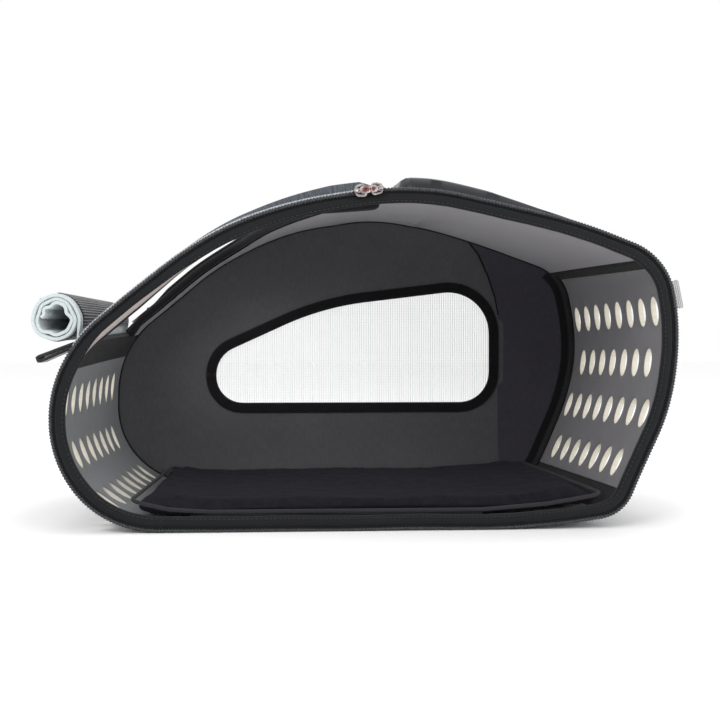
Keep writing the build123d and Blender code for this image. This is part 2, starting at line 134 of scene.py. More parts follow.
TABLE_S = np.linspace(0, SIDES, SIDES * 300 + 1)
NEAR_LINE = np.array([outline_point(s % SIDES, 0.0)[0] for s in TABLE_S])
FAR_LINE = np.array([outline_point(s % SIDES, 1.0)[0] for s in TABLE_S])
NORMALS = np.array([outline_point(s % SIDES, 0.0)[1] for s in TABLE_S])
LENGTHS = np.concatenate([[0], np.cumsum(np.abs(np.diff(NEAR_LINE)))])
ROUND = LENGTHS[-1]


def length_at(station):
    """Distance along the open side's outline at a station, counted on past a whole turn."""
    station = np.asarray(station, float)
    whole = np.floor(station / SIDES)
    length = whole * ROUND + np.interp(station - whole * SIDES, TABLE_S, LENGTHS)
    return length if station.ndim else float(length)


def span(first, last):
    return length_at(last) - length_at(first)


def sag(along, y):
    """Small unevenness of the soft walls, in mm outwards."""
    a = along * 2 * math.pi / ROUND
    wave = np.sin(7 * a + 0.9) * np.cos(y / 61.0) + 0.6 * np.sin(13 * a + y / 83.0)
    return 0.45 * wave


def place(along, y, off):
    """Points at distances along the outline, depths and offsets, as an (..., 3) array in mm."""
    along, y, off = np.broadcast_arrays(*(np.asarray(v, float) for v in (along, y, off)))
    a = np.mod(along, ROUND)
    near, far, n = (
        np.interp(a, LENGTHS, line.real) + 1j * np.interp(a, LENGTHS, line.imag)
        for line in (NEAR_LINE, FAR_LINE, NORMALS)
    )
    p = near + (far - near) * (y - NEAR_Y) / WIDTH + n / np.abs(n) * (off + sag(along, y))
    return np.stack([p.real, y, p.imag], -1)


def unit(vectors):
    return vectors / np.linalg.norm(vectors, axis=-1, keepdims=True)


def normal_at(along):
    a = np.mod(np.asarray(along, float), ROUND)
    x, z = np.interp(a, LENGTHS, NORMALS.real), np.interp(a, LENGTHS, NORMALS.imag)
    return unit(np.stack([x, 0 * x, z], -1))


# ---------------------------------------------------------------- meshes

def distances(points):
    """How far along a line of points each of them lies."""
    return np.concatenate([[0], np.cumsum(np.linalg.norm(np.diff(points, axis=0), axis=1))])


def mesh_piece(name, verts, faces, materials, node=None, body="shell", uv=None, marks=None):
    """A mesh from points in mm. It rides on a body, takes the materials given and may stand
    for a CAD node. marks are its faces' material indices."""
    mesh = bpy.data.meshes.new(name)
    mesh.from_pydata((np.asarray(verts, float) * MM).tolist(), [], [list(map(int, f)) for f in faces])
    for material in materials:
        mesh.materials.append(material)
    if marks is not None:
        mesh.polygons.foreach_set("material_index", np.asarray(marks, np.int32))
    if uv is not None:
        layer = mesh.uv_layers.new(name="cloth")
        corners = np.zeros(len(mesh.loops), np.int32)
        mesh.loops.foreach_get("vertex_index", corners)
        layer.data.foreach_set("uv", (np.asarray(uv, float)[corners] * MM).astype(np.float32).ravel())
    mesh.polygons.foreach_set("use_smooth", [True] * len(mesh.polygons))
    mesh.update()
    obj = bpy.data.objects.new(name, mesh)
    bpy.context.scene.collection.objects.link(obj)
    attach(obj, body)
    if node:
        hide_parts(node)
    return obj


def fix_normals(obj):
    """Makes all normals point out of a closed mesh and keeps its sharp edges sharp."""
    bm = bmesh.new()
    bm.from_mesh(obj.data)
    bmesh.ops.recalc_face_normals(bm, faces=bm.faces)
    bm.to_mesh(obj.data)
    bm.free()
    obj.data.set_sharp_from_angle(angle=math.radians(50))
    return obj


def tube_faces(rings, sides, closed=False):
    """Quads between successive rings of points, with end caps on an open tube."""
    faces = []
    for k in range(rings if closed else rings - 1):
        a, b = k * sides, (k + 1) % rings * sides
        for j in range(sides):
            i = (j + 1) % sides
            faces.append((a + j, a + i, b + i, b + j))
    if not closed:
        faces.append(tuple(range(sides))[::-1])
        faces.append(tuple((rings - 1) * sides + j for j in range(sides)))
    return faces


def tube(name, verts, u, v, material, node=None, body="shell", closed=False):
    """A tube from an array of rings of points; u runs along its cloth and v round it."""
    rings, sides = verts.shape[:2]
    uv = np.stack(np.broadcast_arrays(u, v), -1).reshape(-1, 2)
    faces = tube_faces(rings, sides, closed)
    return fix_normals(mesh_piece(name, verts.reshape(-1, 3), faces, [material], node, body, uv))


def profile_sweep(name, profile, start, end, material, slot, node=None, step=3.0, ripple=None):
    """A closed cross-section of (offset, y) points run along the outline between two stations."""
    a0, a1 = length_at(start), length_at(end)
    closed = abs(a1 - a0 - ROUND) < 1e-6
    count = max(3, int(abs(a1 - a0) / step) + 1)
    along = np.linspace(a0, a1, count, endpoint=not closed)[:, None]
    profile = np.array(profile, float)
    off, y = profile.T[:, None]
    if ripple:
        off, y = ripple(along, off, y)
    verts = place(along, y, off)
    return tube(name, verts, along, distances(profile), material, node, closed=closed)


def path_sweep(name, points, ups, section, material, node=None, body="shell", closed=False,
               swell=1.0):
    """A closed cross-section of (side, up) points run along a line of 3-D points."""
    points = np.array(points, float)
    both = np.roll(points, -1, 0) - np.roll(points, 1, 0)
    way = unit(both if closed else np.gradient(points, axis=0))
    ups = unit(ups - way * np.sum(ups * way, 1, keepdims=True))
    side = np.cross(way, ups)
    u, v = (section.T[:, None] * swell)[..., None]
    verts = points[:, None] + side[:, None] * u + ups[:, None] * v
    return tube(name, verts, distances(points)[:, None], distances(section), material, node, body,
                closed)


def oval(width, height, count=12, power=2.0):
    """Cross-section points of an oval; a power above 2 makes it boxier."""
    a = np.linspace(0, 2 * math.pi, count, endpoint=False)
    c, s = np.cos(a), np.sin(a)
    e = 2 / power
    return np.stack([np.sign(c) * np.abs(c) ** e * width / 2, np.sign(s) * np.abs(s) ** e * height / 2], 1)


def rounded(points, radii, step=3.0, closed=True):
    """A polygon or open line with its corners rounded, as points about step apart."""
    points = [np.array(p, float) for p in points]
    n = len(points)
    if np.isscalar(radii):
        radii = [radii] * n
    out = []
    for k, p in enumerate(points):
        if not closed and k in (0, n - 1):
            out.append(p)
            continue
        a, b = unit(points[k - 1] - p), unit(points[(k + 1) % n] - p)
        half = math.acos(np.clip(a @ b, -1, 1)) / 2
        back = radii[k] / math.tan(half)
        centre = p + unit(a + b) * radii[k] / math.sin(half)
        u, v = p + a * back - centre, p + b * back - centre
        swing = math.pi - 2 * half
        count = max(2, int(radii[k] * swing / step) + 1)
        for t in np.linspace(0, 1, count + 1):
            out.append(centre + (u * math.sin((1 - t) * swing) + v * math.sin(t * swing)) / math.sin(swing))
    ends = np.array(out + out[:1] if closed else out)
    along = distances(ends)
    at = np.linspace(0, along[-1], max(4, round(along[-1] / step)) + 1)
    if closed:
        at = at[:-1]
    return np.stack([np.interp(at, along, ends[:, k]) for k in range(2)], 1)


def rectangle(low, high, corner_radius, step=1.0):
    """A rounded rectangle between two opposite corners."""
    (x0, y0), (x1, y1) = low, high
    return rounded([(x0, y0), (x1, y0), (x1, y1), (x0, y1)], corner_radius, step)


def inside(points, loop):
    """Which points lie inside a closed loop."""
    x, y = points[:, 0][:, None], points[:, 1][:, None]
    a, b = loop, np.roll(loop, -1, 0)
    crosses = (a[:, 1] > y) != (b[:, 1] > y)
    slope = (b[:, 0] - a[:, 0]) / np.where(b[:, 1] == a[:, 1], 1e-12, b[:, 1] - a[:, 1])
    return (crosses & (x < a[:, 0] + slope * (y - a[:, 1]))).sum(1) % 2 == 1


def line_gap(flat, line, closed=False):
    """Distance of flat points to a line of points."""
    gap = np.full(len(flat), 1e9)
    for p, q in zip(line, np.roll(line, -1, 0) if closed else line[1:]):
        d = q - p
        t = np.clip(((flat - p) @ d) / (d @ d), 0, 1)
        gap = np.minimum(gap, np.hypot(*(flat - p - t[:, None] * d).T))
    return gap


def dome(gap, reach, power=2):
    """0 at an edge, rising to 1 at reach from it."""
    return 1 - (1 - np.clip(gap / reach, 0, 1)) ** power


def fill(outer, holes, step, lips=()):
    """Triangles of a flat region with holes. lips are extra loops of points near each hole."""
    low, high = outer.min(0), outer.max(0)
    xs, ys = (np.linspace(a, b, max(3, int((b - a) / step))) for a, b in zip(low, high))
    grid = np.stack(np.meshgrid(xs, ys, indexing="ij"), -1).reshape(-1, 2)
    middle = outer.mean(0)
    keep = inside(grid, middle + (outer - middle) * (1 - 0.5 * step / np.abs(outer - middle).max()))
    for hole in holes:
        centre = hole.mean(0)
        near = np.abs(grid - centre).max(1) < np.abs(hole - centre).max() + 2 * step
        grown = centre + (hole - centre) * (1 + 0.6 * step / np.linalg.norm(hole - centre, axis=1).min())
        keep &= ~(near & inside(grid, grown))
    for p in np.concatenate([outer, *holes]):
        keep &= np.abs(grid - p).max(1) > 0.35 * step
    edges, count = [], keep.sum()
    for loop in (outer, *holes):
        n = len(loop)
        edges += [(count + k, count + (k + 1) % n) for k in range(n)]
        count += n
    points = np.concatenate([grid[keep], outer, *holes, *lips])
    verts, _, faces, *_ = delaunay_2d_cdt([Vector(p) for p in points.tolist()], edges, [], 0, 1e-5)
    verts = np.array([(v.x, v.y) for v in verts])
    faces = np.array([f for f in faces if len(f) == 3])
    middle = verts[faces].mean(1)
    keep = inside(middle, outer)
    for hole in holes:
        keep &= ~inside(middle, hole)
    return verts, faces[keep]


def shell_faces(faces, n):
    """Faces of a closed shell whose two sides repeat one triangulation of n points, then its rim's."""
    edges = dict.fromkeys((int(f[k]), int(f[(k + 1) % 3])) for f in faces for k in range(3))
    rim = [(j, i, i + n, j + n) for i, j in edges if (j, i) not in edges]
    return [tuple(f) for f in faces] + [tuple(int(i) + n for i in f[::-1]) for f in faces], rim


def slab(name, flat, faces, outer, inner, materials, node=None, body="shell", side_mark=0,
         inner_mark=0):
    """A closed shell from one flat triangulation shown at two places: outer and inner are the
    3-D points of its two faces."""
    sides, rim = shell_faces(faces, len(flat))
    marks = [0] * len(faces) + [inner_mark] * len(faces) + [side_mark] * len(rim)
    verts, uv = np.concatenate([outer, inner]), np.concatenate([flat, flat])
    return fix_normals(mesh_piece(name, verts, sides + rim, materials, node, body, uv, marks))


# ---------------------------------------------------------------- materials

def srgb(colour):
    linear = [c / 12.92 if c <= 0.04045 else ((c + 0.055) / 1.055) ** 2.4 for c in np.array(colour) / 255]
    return (*linear, 1.0)


class Finish:
    """One procedural material: nodes that feed a Principled shader."""

    def __init__(self, name, **inputs):
        self.material = bpy.data.materials.new(name)
        self.material.use_nodes = True
        self.tree = self.material.node_tree
        self.shader = self.tree.nodes["Principled BSDF"]
        for key, value in inputs.items():
            self.shader.inputs[key.replace("_", " ")].default_value = value

    def node(self, kind, links=(), values=(), **settings):
        """A node of a kind, with its inputs linked or set by number or name."""
        made = self.tree.nodes.new(kind)
        for key, value in settings.items():
            setattr(made, key, value)
        for key, source in dict(links).items():
            self.tree.links.new(source, made.inputs[key])
        for key, value in dict(values).items():
            made.inputs[key].default_value = value
        return made

    def math(self, operation, a, b=None, clamp=False):
        numbers = {k: v for k, v in enumerate((a, b)) if isinstance(v, (int, float))}
        links = {k: v for k, v in enumerate((a, b)) if k not in numbers and v is not None}
        return self.node("ShaderNodeMath", links, numbers, operation=operation, use_clamp=clamp).outputs[0]

    def add(self, base, value, share=1.0, clamp=False):
        """base + value * share"""
        return self.math("ADD", self.math("MULTIPLY", value, share), base, clamp)

    def cloth(self):
        return self.node("ShaderNodeUVMap", uv_map="cloth").outputs[0]

    def space(self):
        return self.node("ShaderNodeTexCoord").outputs["Object"]

    def split(self, coords):
        return self.node("ShaderNodeSeparateXYZ", {0: coords}).outputs

    def noise(self, coords, scale, detail=3.0, roughness=0.6, stretch=None):
        if stretch:
            coords = self.node("ShaderNodeMapping", {"Vector": coords}, {"Scale": stretch}).outputs[0]
        values = {"Scale": scale, "Detail": detail, "Roughness": roughness}
        return self.node("ShaderNodeTexNoise", {"Vector": coords}, values).outputs[0]

    def sine(self, value, pitch):
        return self.math("SINE", self.math("MULTIPLY", value, 2 * math.pi / pitch))

    def weave(self, coords, pitch):
        """Height of a plain weave, -1 to 1."""
        x, y, _ = self.split(coords)
        return self.math("MULTIPLY", self.sine(x, pitch * 2), self.sine(y, pitch * 2))

    def colour(self, value, *stops):
        """Base colour from a value by (place, colour) stops."""
        made = self.node("ShaderNodeValToRGB", {0: value})
        for element, (at, colour) in zip(made.color_ramp.elements, stops):
            element.position = at
            element.color = srgb(colour)
        self.tree.links.new(made.outputs[0], self.shader.inputs["Base Color"])

    def roughness(self, value, low, high):
        made = self.node("ShaderNodeMapRange", {"Value": value}, {"To Min": low, "To Max": high})
        self.tree.links.new(made.outputs[0], self.shader.inputs["Roughness"])

    def bump(self, height, depth):
        made = self.node("ShaderNodeBump", {"Height": height}, {"Distance": depth * MM, "Strength": 1.0})
        self.tree.links.new(made.outputs[0], self.shader.inputs["Normal"])


def fabric(name, dark, light, pitch=1.1, depth=0.25, rough=0.86, sheen=0.25, fleck=0.35, uv=True,
           blotch=0.2):
    """Woven cloth: a plain weave of threads between two colours, flecks, and slow unevenness."""
    f = Finish(name, Roughness=rough, Sheen_Weight=sheen, Sheen_Roughness=0.45, Specular_IOR_Level=0.15)
    coords = f.cloth() if uv else f.space()
    weave = f.weave(coords, pitch * MM)
    threads = f.noise(coords, 420.0, 2.0, 0.7, (1.0, 0.35, 1.0))
    slow = f.noise(f.space(), 14.0, 3.0, 0.55)
    value = f.add(0.5, weave, 0.12)
    value = f.add(value, f.math("SUBTRACT", threads, 0.5), 2 * fleck)
    value = f.add(value, f.math("SUBTRACT", slow, 0.5), 2 * blotch, True)
    f.colour(value, (0.0, dark), (1.0, light))
    f.roughness(threads, rough - 0.08, min(1.0, rough + 0.1))
    f.bump(f.add(weave, threads, 1.5), depth)
    return f.material


def metal_finish(name, colour, rough, shade=None):
    f = Finish(name, Metallic=1.0, Roughness=rough)
    scratch = f.noise(f.space(), 900.0, 4.0, 0.7, (1.0, 1.0, 4.0))
    f.colour(f.noise(f.space(), 160.0), (0.35, shade or colour), (0.58, colour))
    f.roughness(scratch, rough - 0.08, rough + 0.18)
    f.bump(scratch, 0.05)
    return f.material


def ribbed(name, dark, light, pitch, across=False, rough=0.5, depth=0.3):
    """Cord or mesh fabric with ribs along its length."""
    f = Finish(name, Roughness=rough, Sheen_Weight=0.1, Specular_IOR_Level=0.3)
    x, y, _ = f.split(f.cloth())
    rib = f.sine(x if across else y, pitch * MM)
    cross = f.sine(y if across else x, pitch * 0.7 * MM)
    fine = f.noise(f.cloth(), 900.0, 2.0)
    value = f.add(f.add(0.5, rib, 0.4), cross, 0.08)
    value = f.add(value, f.math("SUBTRACT", fine, 0.5), 0.35, True)
    f.colour(value, (0.0, dark), (1.0, light))
    f.bump(f.math("ADD", rib, fine), depth)
    return f.material


def grained(name, low, high, scale, depth, detail=3.0, roughness=0.6, **inputs):
    """A finish whose colour and surface follow one fine grain."""
    f = Finish(name, **inputs)
    grain = f.noise(f.space(), scale, detail, roughness)
    f.colour(grain, low, high)
    if depth:
        f.bump(grain, depth)
    return f.material


def coil_finish(name, dark, light, rough):
    return grained(name, (0.3, dark), (0.75, light), 700.0, 0.08, Roughness=rough, Coat_Weight=0.1,
                   Coat_Roughness=0.2, Specular_IOR_Level=0.3)


def moulded_finish():
    f = Finish("moulded_cover", Roughness=0.42, Coat_Weight=0.12, Coat_Roughness=0.18, Specular_IOR_Level=0.3)
    grain = f.noise(f.space(), 1100.0, 4.0, 0.7)
    f.colour(f.noise(f.space(), 26.0), (0.25, (18, 19, 23)), (0.8, (36, 38, 44)))
    f.roughness(grain, 0.26, 0.44)
    f.bump(grain, 0.12)
    return f.material


def fleece_finish():
    f = Finish("fleece", Roughness=0.95, Sheen_Weight=0.08, Sheen_Roughness=0.6, Specular_IOR_Level=0.05)
    f.shader.inputs["Sheen Tint"].default_value = srgb((150, 148, 160))
    pile = f.noise(f.space(), 620.0, 5.0, 0.8)
    tuft = f.noise(f.space(), 120.0, 4.0, 0.7)
    value = f.add(f.math("MULTIPLY", pile, 0.6), tuft, 0.4)
    f.colour(value, (0.3, (12, 12, 15)), (0.72, (38, 37, 43)))
    f.bump(value, 1.2)
    return f.material


KNIT = dict(pitch=0.9, depth=0.15, fleck=0.2, rough=0.75)
OUTER = fabric("outer_fabric", (30, 32, 35), (88, 92, 97), 1.1, 0.3, fleck=0.45)
# The rear lining is the lining cloth made darker: painted shade for the rear wall, which gets less light
LINING_REAR_PAINTED_SHADE = fabric("lining_rear_painted_shade", (98, 96, 100), (128, 126, 130), blotch=0.12, **KNIT)
# The front lining is the lining cloth made darker: painted shade for the front wall, which gets less light
LINING_FRONT_PAINTED_SHADE = fabric("lining_front_painted_shade", (96, 98, 101), (128, 130, 134), **KNIT)
LINING_CLOTH = fabric("lining_cloth", (132, 129, 134), (163, 160, 165), blotch=0.12, **KNIT)
MELANGE = fabric("melange_fabric", (32, 35, 40), (112, 118, 127), 1.0, 0.35, fleck=0.6, sheen=0.3)
RIM = fabric("rim_fabric", (18, 19, 20), (37, 38, 40), 0.8, 0.15, fleck=0.25, sheen=0.1, rough=0.88)
BINDING = fabric("binding_fabric", (7, 7, 9), (25, 24, 28), 0.9, fleck=0.3, rough=0.75, sheen=0.1)
BACK_CLOTH = fabric("back_fabric", (62, 62, 64), (94, 94, 97), 1.0, fleck=0.3, blotch=0.15)
# A darker, bluer copy of the back cloth, used past the seam: painted shade on that corner of the closed side
BACK_CLOTH_PAINTED_SHADE = fabric("back_fabric_painted_shade", (48, 46, 54), (76, 74, 83), 1.0, fleck=0.3, blotch=0.15)
FOAM = fabric("foam", (196, 190, 174), (236, 231, 218), 0.7, 0.1, fleck=0.3, rough=0.95, sheen=0.0)
ROLL_CLOTH = fabric("flap_fabric", (172, 181, 183), (216, 223, 223), 1.0, 0.2, fleck=0.25, rough=0.9)
ROLL_TRIM = fabric("flap_trim", (150, 154, 160), (214, 218, 222), 0.8, 0.2)
TAPE_CLOTH = fabric("tape_cloth", (128, 120, 118), (172, 164, 160), 0.8, 0.15, fleck=0.2, rough=0.85)
THREAD = fabric("thread", (28, 29, 31), (60, 61, 64), 0.4, 0.1, uv=False, rough=0.6)
PIPING = fabric("pad_piping", (28, 27, 32), (58, 56, 63), 1.0, 0.2, fleck=0.3, sheen=0.1)
WEB_DARK = ribbed("webbing", (16, 16, 18), (52, 52, 56), 1.6, rough=0.6)
WEB_LIGHT = ribbed("webbing_light", (150, 148, 150), (216, 214, 214), 1.6, rough=0.75)
MESH_BLACK = ribbed("mesh_black", (5, 5, 7), (88, 85, 92), 2.4, across=True, rough=0.45, depth=0.8)
STRAP = ribbed("strap", (12, 12, 16), (40, 40, 46), 1.2, rough=0.28, depth=0.12)
ZIP_SILVER = metal_finish("zip_metal", (190, 184, 182), 0.16, (104, 88, 86))
ZIP_ROSE = metal_finish("zip_rose", (140, 88, 86), 0.3, (84, 48, 48))
RING_STEEL = metal_finish("ring_metal", (188, 190, 194), 0.22)
COIL_DARK = coil_finish("zip_coil", (16, 17, 19), (60, 62, 66), 0.32)
COIL_LIGHT = coil_finish("zip_coil_light", (118, 121, 126), (214, 216, 220), 0.25)
NET = grained("mesh_white", (0.2, (238, 241, 241)), (0.8, (254, 255, 255)), 800.0, 0.1, Roughness=0.7,
              Transmission_Weight=0.55, IOR=1.05)
BOARD = grained("board", (0.2, (18, 18, 20)), (0.8, (44, 43, 48)), 500.0, 0.2, 4.0, 0.7, Roughness=0.7)
FLOOR_PALE = grained("floor_pale", (0.0, (250, 250, 250)), (1.0, (253, 253, 253)), 3.0, 0, 2.0, Roughness=0.9)
MOULDED = moulded_finish()
FLEECE = fleece_finish()


# ---------------------------------------------------------------- walls

def slots_of(rows):
    """Centres of the vent slots; every second row is staggered and has one slot less."""
    return [
        (length_at(station), (j - (SLOTS_IN_ROW - 1 - k % 2) / 2) * SLOT_PITCH)
        for k, station in enumerate(rows)
        for j in range(SLOTS_IN_ROW - k % 2)
    ]


def slot_ring(centre, grow=0.0):
    return centre + oval(SLOT_LONG + 2 * grow, SLOT_WIDE + 2 * grow, 28)


def slot_gap(flat, slots):
    """Distance of each flat point outside the nearest slot, in mm."""
    gap = np.full(len(flat), 1e3)
    for x, y in slots:
        u, v = flat[:, 0] - x, flat[:, 1] - y
        r = np.hypot(u / (SLOT_LONG / 2), v / (SLOT_WIDE / 2)) + 1e-9
        gap = np.minimum(gap, (r - 1) * np.hypot(u, v) / r)
    return gap


def wall_outline(a0, a1, step):
    """The edge of a length of wall, with square corners."""
    y0, y1 = WALL_NEAR, WALL_FAR
    a = np.linspace(a0, a1, max(2, int((a1 - a0) / step)) + 1)
    y = np.linspace(y0, y1, max(2, int((y1 - y0) / step)) + 1)
    sides = [
        (a[:-1], y0), (a1, y[:-1]),
        (a[:0:-1], y1), (a0, y[:0:-1]),
    ]
    return np.concatenate([np.stack(np.broadcast_arrays(u, v), 1) for u, v in sides])


# The stretch of the outline that the window lies in
HOLE_A = length_at(np.linspace(5.8, 7.7, 700))


def along_of_x(x, y):
    return float(np.interp(-x, -place(HOLE_A, y, 0.0)[:, 0], HOLE_A))


def window_line(grow=0.0, step=4.0):
    """Flat points round the window, from its near sill corner over the top to the far one."""
    (x0, near), (x1, far) = WINDOW_PLAN
    slant = math.hypot(x1 - x0, far - near)
    way_x, way_y = (x1 - x0) / slant, (far - near) / slant
    start = -grow * (1 - way_x) / way_y
    end = grow * (1 + way_x) / way_y
    near, far = near - grow, far + grow
    top = (x0 + way_y * grow + way_x * start, near)
    knee = (x1 + way_y * grow + way_x * end, far)
    sill = length_at(SILL)
    plan = [(float(place(sill, near, 0)[0]), near), top, knee, (float(place(sill, far, 0)[0]), far)]
    radii = [0, WINDOW_RADII[0] + grow, WINDOW_RADII[1] + grow, 0]
    line = np.array([(along_of_x(x, y), y) for x, y in rounded(plan, radii, step, closed=False)])
    line[[0, -1], 0] = sill
    return line


def window_loop(grow, step=4.0):
    line = window_line(grow, step)
    sill = np.linspace(line[-1], line[0], int(abs(line[-1][1] - line[0][1]) / step) + 1)[1:-1]
    return np.concatenate([line, sill])


def lining_outline():
    """The lining round the window: three sides of it, open at the sill."""
    a0, a1 = length_at(FRAME_START), length_at(SILL)
    side = np.arange(a1, a0, -4.0)
    ys = np.arange(WALL_NEAR + 4, WALL_FAR, 4.0)
    near = np.stack([side[::-1], 0 * side + WALL_NEAR], 1)
    far = np.stack([side, 0 * side + WALL_FAR], 1)
    top = np.stack([0 * ys + a0, ys], 1)[::-1]
    return np.concatenate([near, window_line(5.0), far, top])


def wall(name, start, end, offs, materials, slot, node, slots=(), holes=(), step=6.0, lip=0.0,
         outer=None):
    """A length of wall as a closed shell between two offsets, with vent slots whose lips turn in."""
    if outer is None:
        outer = wall_outline(length_at(start), length_at(end), step * 0.7)
    rings = [slot_ring(c) for c in slots]
    lips = [slot_ring(c, grow) for c in slots for grow in (0.9, 2.2)]
    flat, faces = fill(outer, rings + list(holes), step, lips)
    turned_in = lip * np.exp(-np.maximum(slot_gap(flat, slots), 0) / 1.1)
    is_skin = offs[0] >= 0
    top = place(flat[:, 0], flat[:, 1], offs[0] - turned_in * is_skin)
    bottom = place(flat[:, 0], flat[:, 1], offs[1] + turned_in * (not is_skin))
    return slab(name, flat, faces, top, bottom, materials, node, side_mark=1, inner_mark=2)


FRONT_SLOTS = slots_of(FRONT_ROWS)
REAR_SLOTS = slots_of(REAR_ROWS)
SKIN = (0.0, 0.05 - WALL)
for name, start, end, node, more in (
    ("outer_base", BASE_START, SIDES + REAR_START, "base_panel", {"step": 9}),
    ("outer_front", FRONT_START, BASE_START, "front_wall", {"slots": FRONT_SLOTS, "lip": 0.8}),
    ("outer_rear", REAR_START, ROOF_START, "rear_wall", {"slots": REAR_SLOTS, "lip": 0.8}),
    ("outer_roof", ROOF_START, FRAME_START, "roof_panel", {"step": 7}),
):
    wall(name, start, end, SKIN, [OUTER, FOAM, FOAM], "outer_fabric", node, **more)
wall("outer_slope", FRAME_START, FRONT_START, SKIN, [OUTER, BINDING, BINDING], "outer_fabric",
     "window_frame", holes=[window_loop(5.0)])

INSIDE = (-WALL, -LINING)
for name, start, end, cloth, node, more in (
    ("inner_base", BASE_START, SIDES + 1.5, LINING_CLOTH, "base_lining", {"step": 9}),
    # the front wall's lining takes the darker copy of the lining cloth, painted shade
    ("inner_front", 7.76, BASE_START, LINING_FRONT_PAINTED_SHADE, "front_lining", {"slots": FRONT_SLOTS, "lip": 1.0}),
    # the rear wall's lining takes the darker copy of the lining cloth, painted shade
    ("inner_rear", 2.0, 3.72, LINING_REAR_PAINTED_SHADE, "rear_lining", {"slots": REAR_SLOTS, "lip": 1.0}),
    ("inner_roof", 3.84, FRAME_START, LINING_CLOTH, "roof_lining", {"step": 7}),
):
    wall(name, start, end, INSIDE, [FOAM, FOAM, cloth], "lining", node, **more)
wall("inner_slope", FRAME_START, SILL, INSIDE, [BINDING, BINDING, LINING_CLOTH], "lining",
     "frame_lining", outer=lining_outline())


def hinge_band(name, start, end, off, node):
    """A soft band across the walls: flat where it meets them, domed on its inner face."""
    a0, a1 = length_at(start), length_at(end)
    share = np.linspace(0, 1, max(6, int((a1 - a0) / 2.5)))
    rise = 1 - np.abs(2 * share - 1) ** 4
    at = a0 + (a1 - a0) * share
    along = np.concatenate([at, at[::-1]])
    offs = np.concatenate([-WALL + (off + WALL) * rise, 0 * rise + 0.2 - WALL])
    ys = np.linspace(WALL_NEAR, WALL_FAR, int((WALL_FAR - WALL_NEAR) / 4) + 1)[:, None]
    tube(name, place(along, ys, offs), along, ys, BINDING, node)


hinge_band("hinge_sill", SILL, 7.79, -6.9, "sill_hinge_band")
hinge_band("hinge_rear_top", 3.72, 3.84, -7.0, "rear_top_hinge_band")
hinge_band("hinge_rear_bottom", 1.5, 2.0, -7.0, "rear_bottom_hinge_band")

# A tape covers the rear wall's far edge, and the same binding turns on to the closed side
REAR_TAPE = [(-6.1, 102.5), (-7.2, 102.8), (-7.8, 104.5), (-8.0, 110), (-7.8, 115.4), (-6.1, 115.8)]
TURNED = [(-6.5, 117.2), (-8.0, 120.4), (-12.6, 122.9), (-13.2, 124.4), (-8.0, 122.2), (-6.5, 119.0)]
profile_sweep("rear_edge_tape", REAR_TAPE, 1.55, 3.8, BINDING, "binding_fabric", step=4.0)
profile_sweep("rear_edge_binding", TURNED, 1.75, 3.86, BINDING, "binding_fabric", step=4.0)


# ---------------------------------------------------------------- rims and coils

def coil_along(name, start, end, off, y, material, node, across=2.6, tall=2.2, pitch=2.3, waist=0.8):
    """A zip coil: ribs round a flattened tube."""
    a0, a1 = length_at(start), length_at(end)
    closed = abs(a1 - a0 - ROUND) < 1e-6
    ribs = max(3, round((a1 - a0) / pitch))
    count = ribs * 4 + (not closed)
    along = np.linspace(a0, a1, ribs * 4 + 1)[:count, None]
    swell = np.tile([waist, 1.0, 1.0, waist], ribs + 1)[:count, None]
    lean = np.tile([-0.25, -0.1, 0.1, 0.25], ribs + 1)[:count, None]
    o, v = oval(across, tall, 8, 2.6).T
    a = along + lean * v
    tube(name, place(a, y + v * swell, off + o * swell), a, np.arange(8) * 0.9, material,
         node, closed=closed)


def stitches(name, points, up, long=2.6, gap=1.4, thick=0.55, body="shell"):
    """A row of thread stitches along a line of points that lies on a surface."""
    along = distances(points)
    ring = [(math.cos(k * math.pi / 3), math.sin(k * math.pi / 3)) for k in range(6)]
    heights_sizes = ((-0.35, 0.55), (0.05, 0.95), (0.25, 1.0), (0.05, 0.95), (-0.35, 0.55))
    verts, faces = [], []
    start = gap / 2
    while start + long < along[-1]:
        at = start + long * np.array([0.0, 0.18, 0.5, 0.82, 1.0])
        spine = np.stack([np.interp(at, along, points[:, k]) for k in range(3)], 1)
        way = unit(spine[-1] - spine[0])
        rise = unit(up - way * (up @ way))
        side = np.cross(way, rise)
        faces += [tuple(len(verts) + i for i in f) for f in tube_faces(5, 6)]
        for p, (height, size) in zip(spine, heights_sizes):
            for c, s in ring:
                r = thick * size / 2
                verts.append(p + rise * (0.1 + height * thick + s * r) + side * c * r)
        start += long + gap
    mesh_piece(name, verts, faces, [THREAD], body=body)


def soft_ripple(seed, amount=0.18):
    """Slow unevenness along a sewn band."""
    def ripple(along, off, y):
        turns = along * 2 * math.pi / ROUND
        slow, fast = np.sin(23 * turns + seed), 0.7 * np.sin(41 * turns + 2.1 * seed)
        wave = amount * (slow + fast + 0.5 * np.sin(97 * turns + 3 * seed))
        return off + wave * 0.4, y + wave * np.where(y < NEAR_Y + 1, 0.5, 0)
    return ripple


# The near rim: a soft band that faces out of the open side, with the zip tape along its outer edge
NEAR_BAND = [
    (0.0, -116.0), (0.1, -118.4), (-0.3, -119.5), (-1.4, -120.0), (-2.6, -119.9), (-3.2, -119.2),
    (-3.8, -118.8), (-4.3, -119.3), (-4.8, -120.3), (-5.8, -120.9), (-7.5, -121.2), (-9.4, -121.1),
    (-10.9, -120.6), (-11.8, -119.7), (-12.1, -118.4), (-12.0, -116.6), (-11.2, -115.9), (-6.0, -115.8),
]
profile_sweep("near_rim", NEAR_BAND, 0, SIDES, RIM, "rim_fabric", "near_rim_band", 2.5, soft_ripple(0.7))
coil_along("rim_coil", 0, SIDES, -0.9, -121.3, COIL_DARK, "rim_zip_coil", 3.4, 2.8, 2.7, 0.6)
rim_seam = place(np.arange(0, ROUND - 0.4, 3.0), -120.95, -10.4)
stitches("rim_stitches", rim_seam, NEARWARD, long=2.2, gap=1.6, thick=0.45)

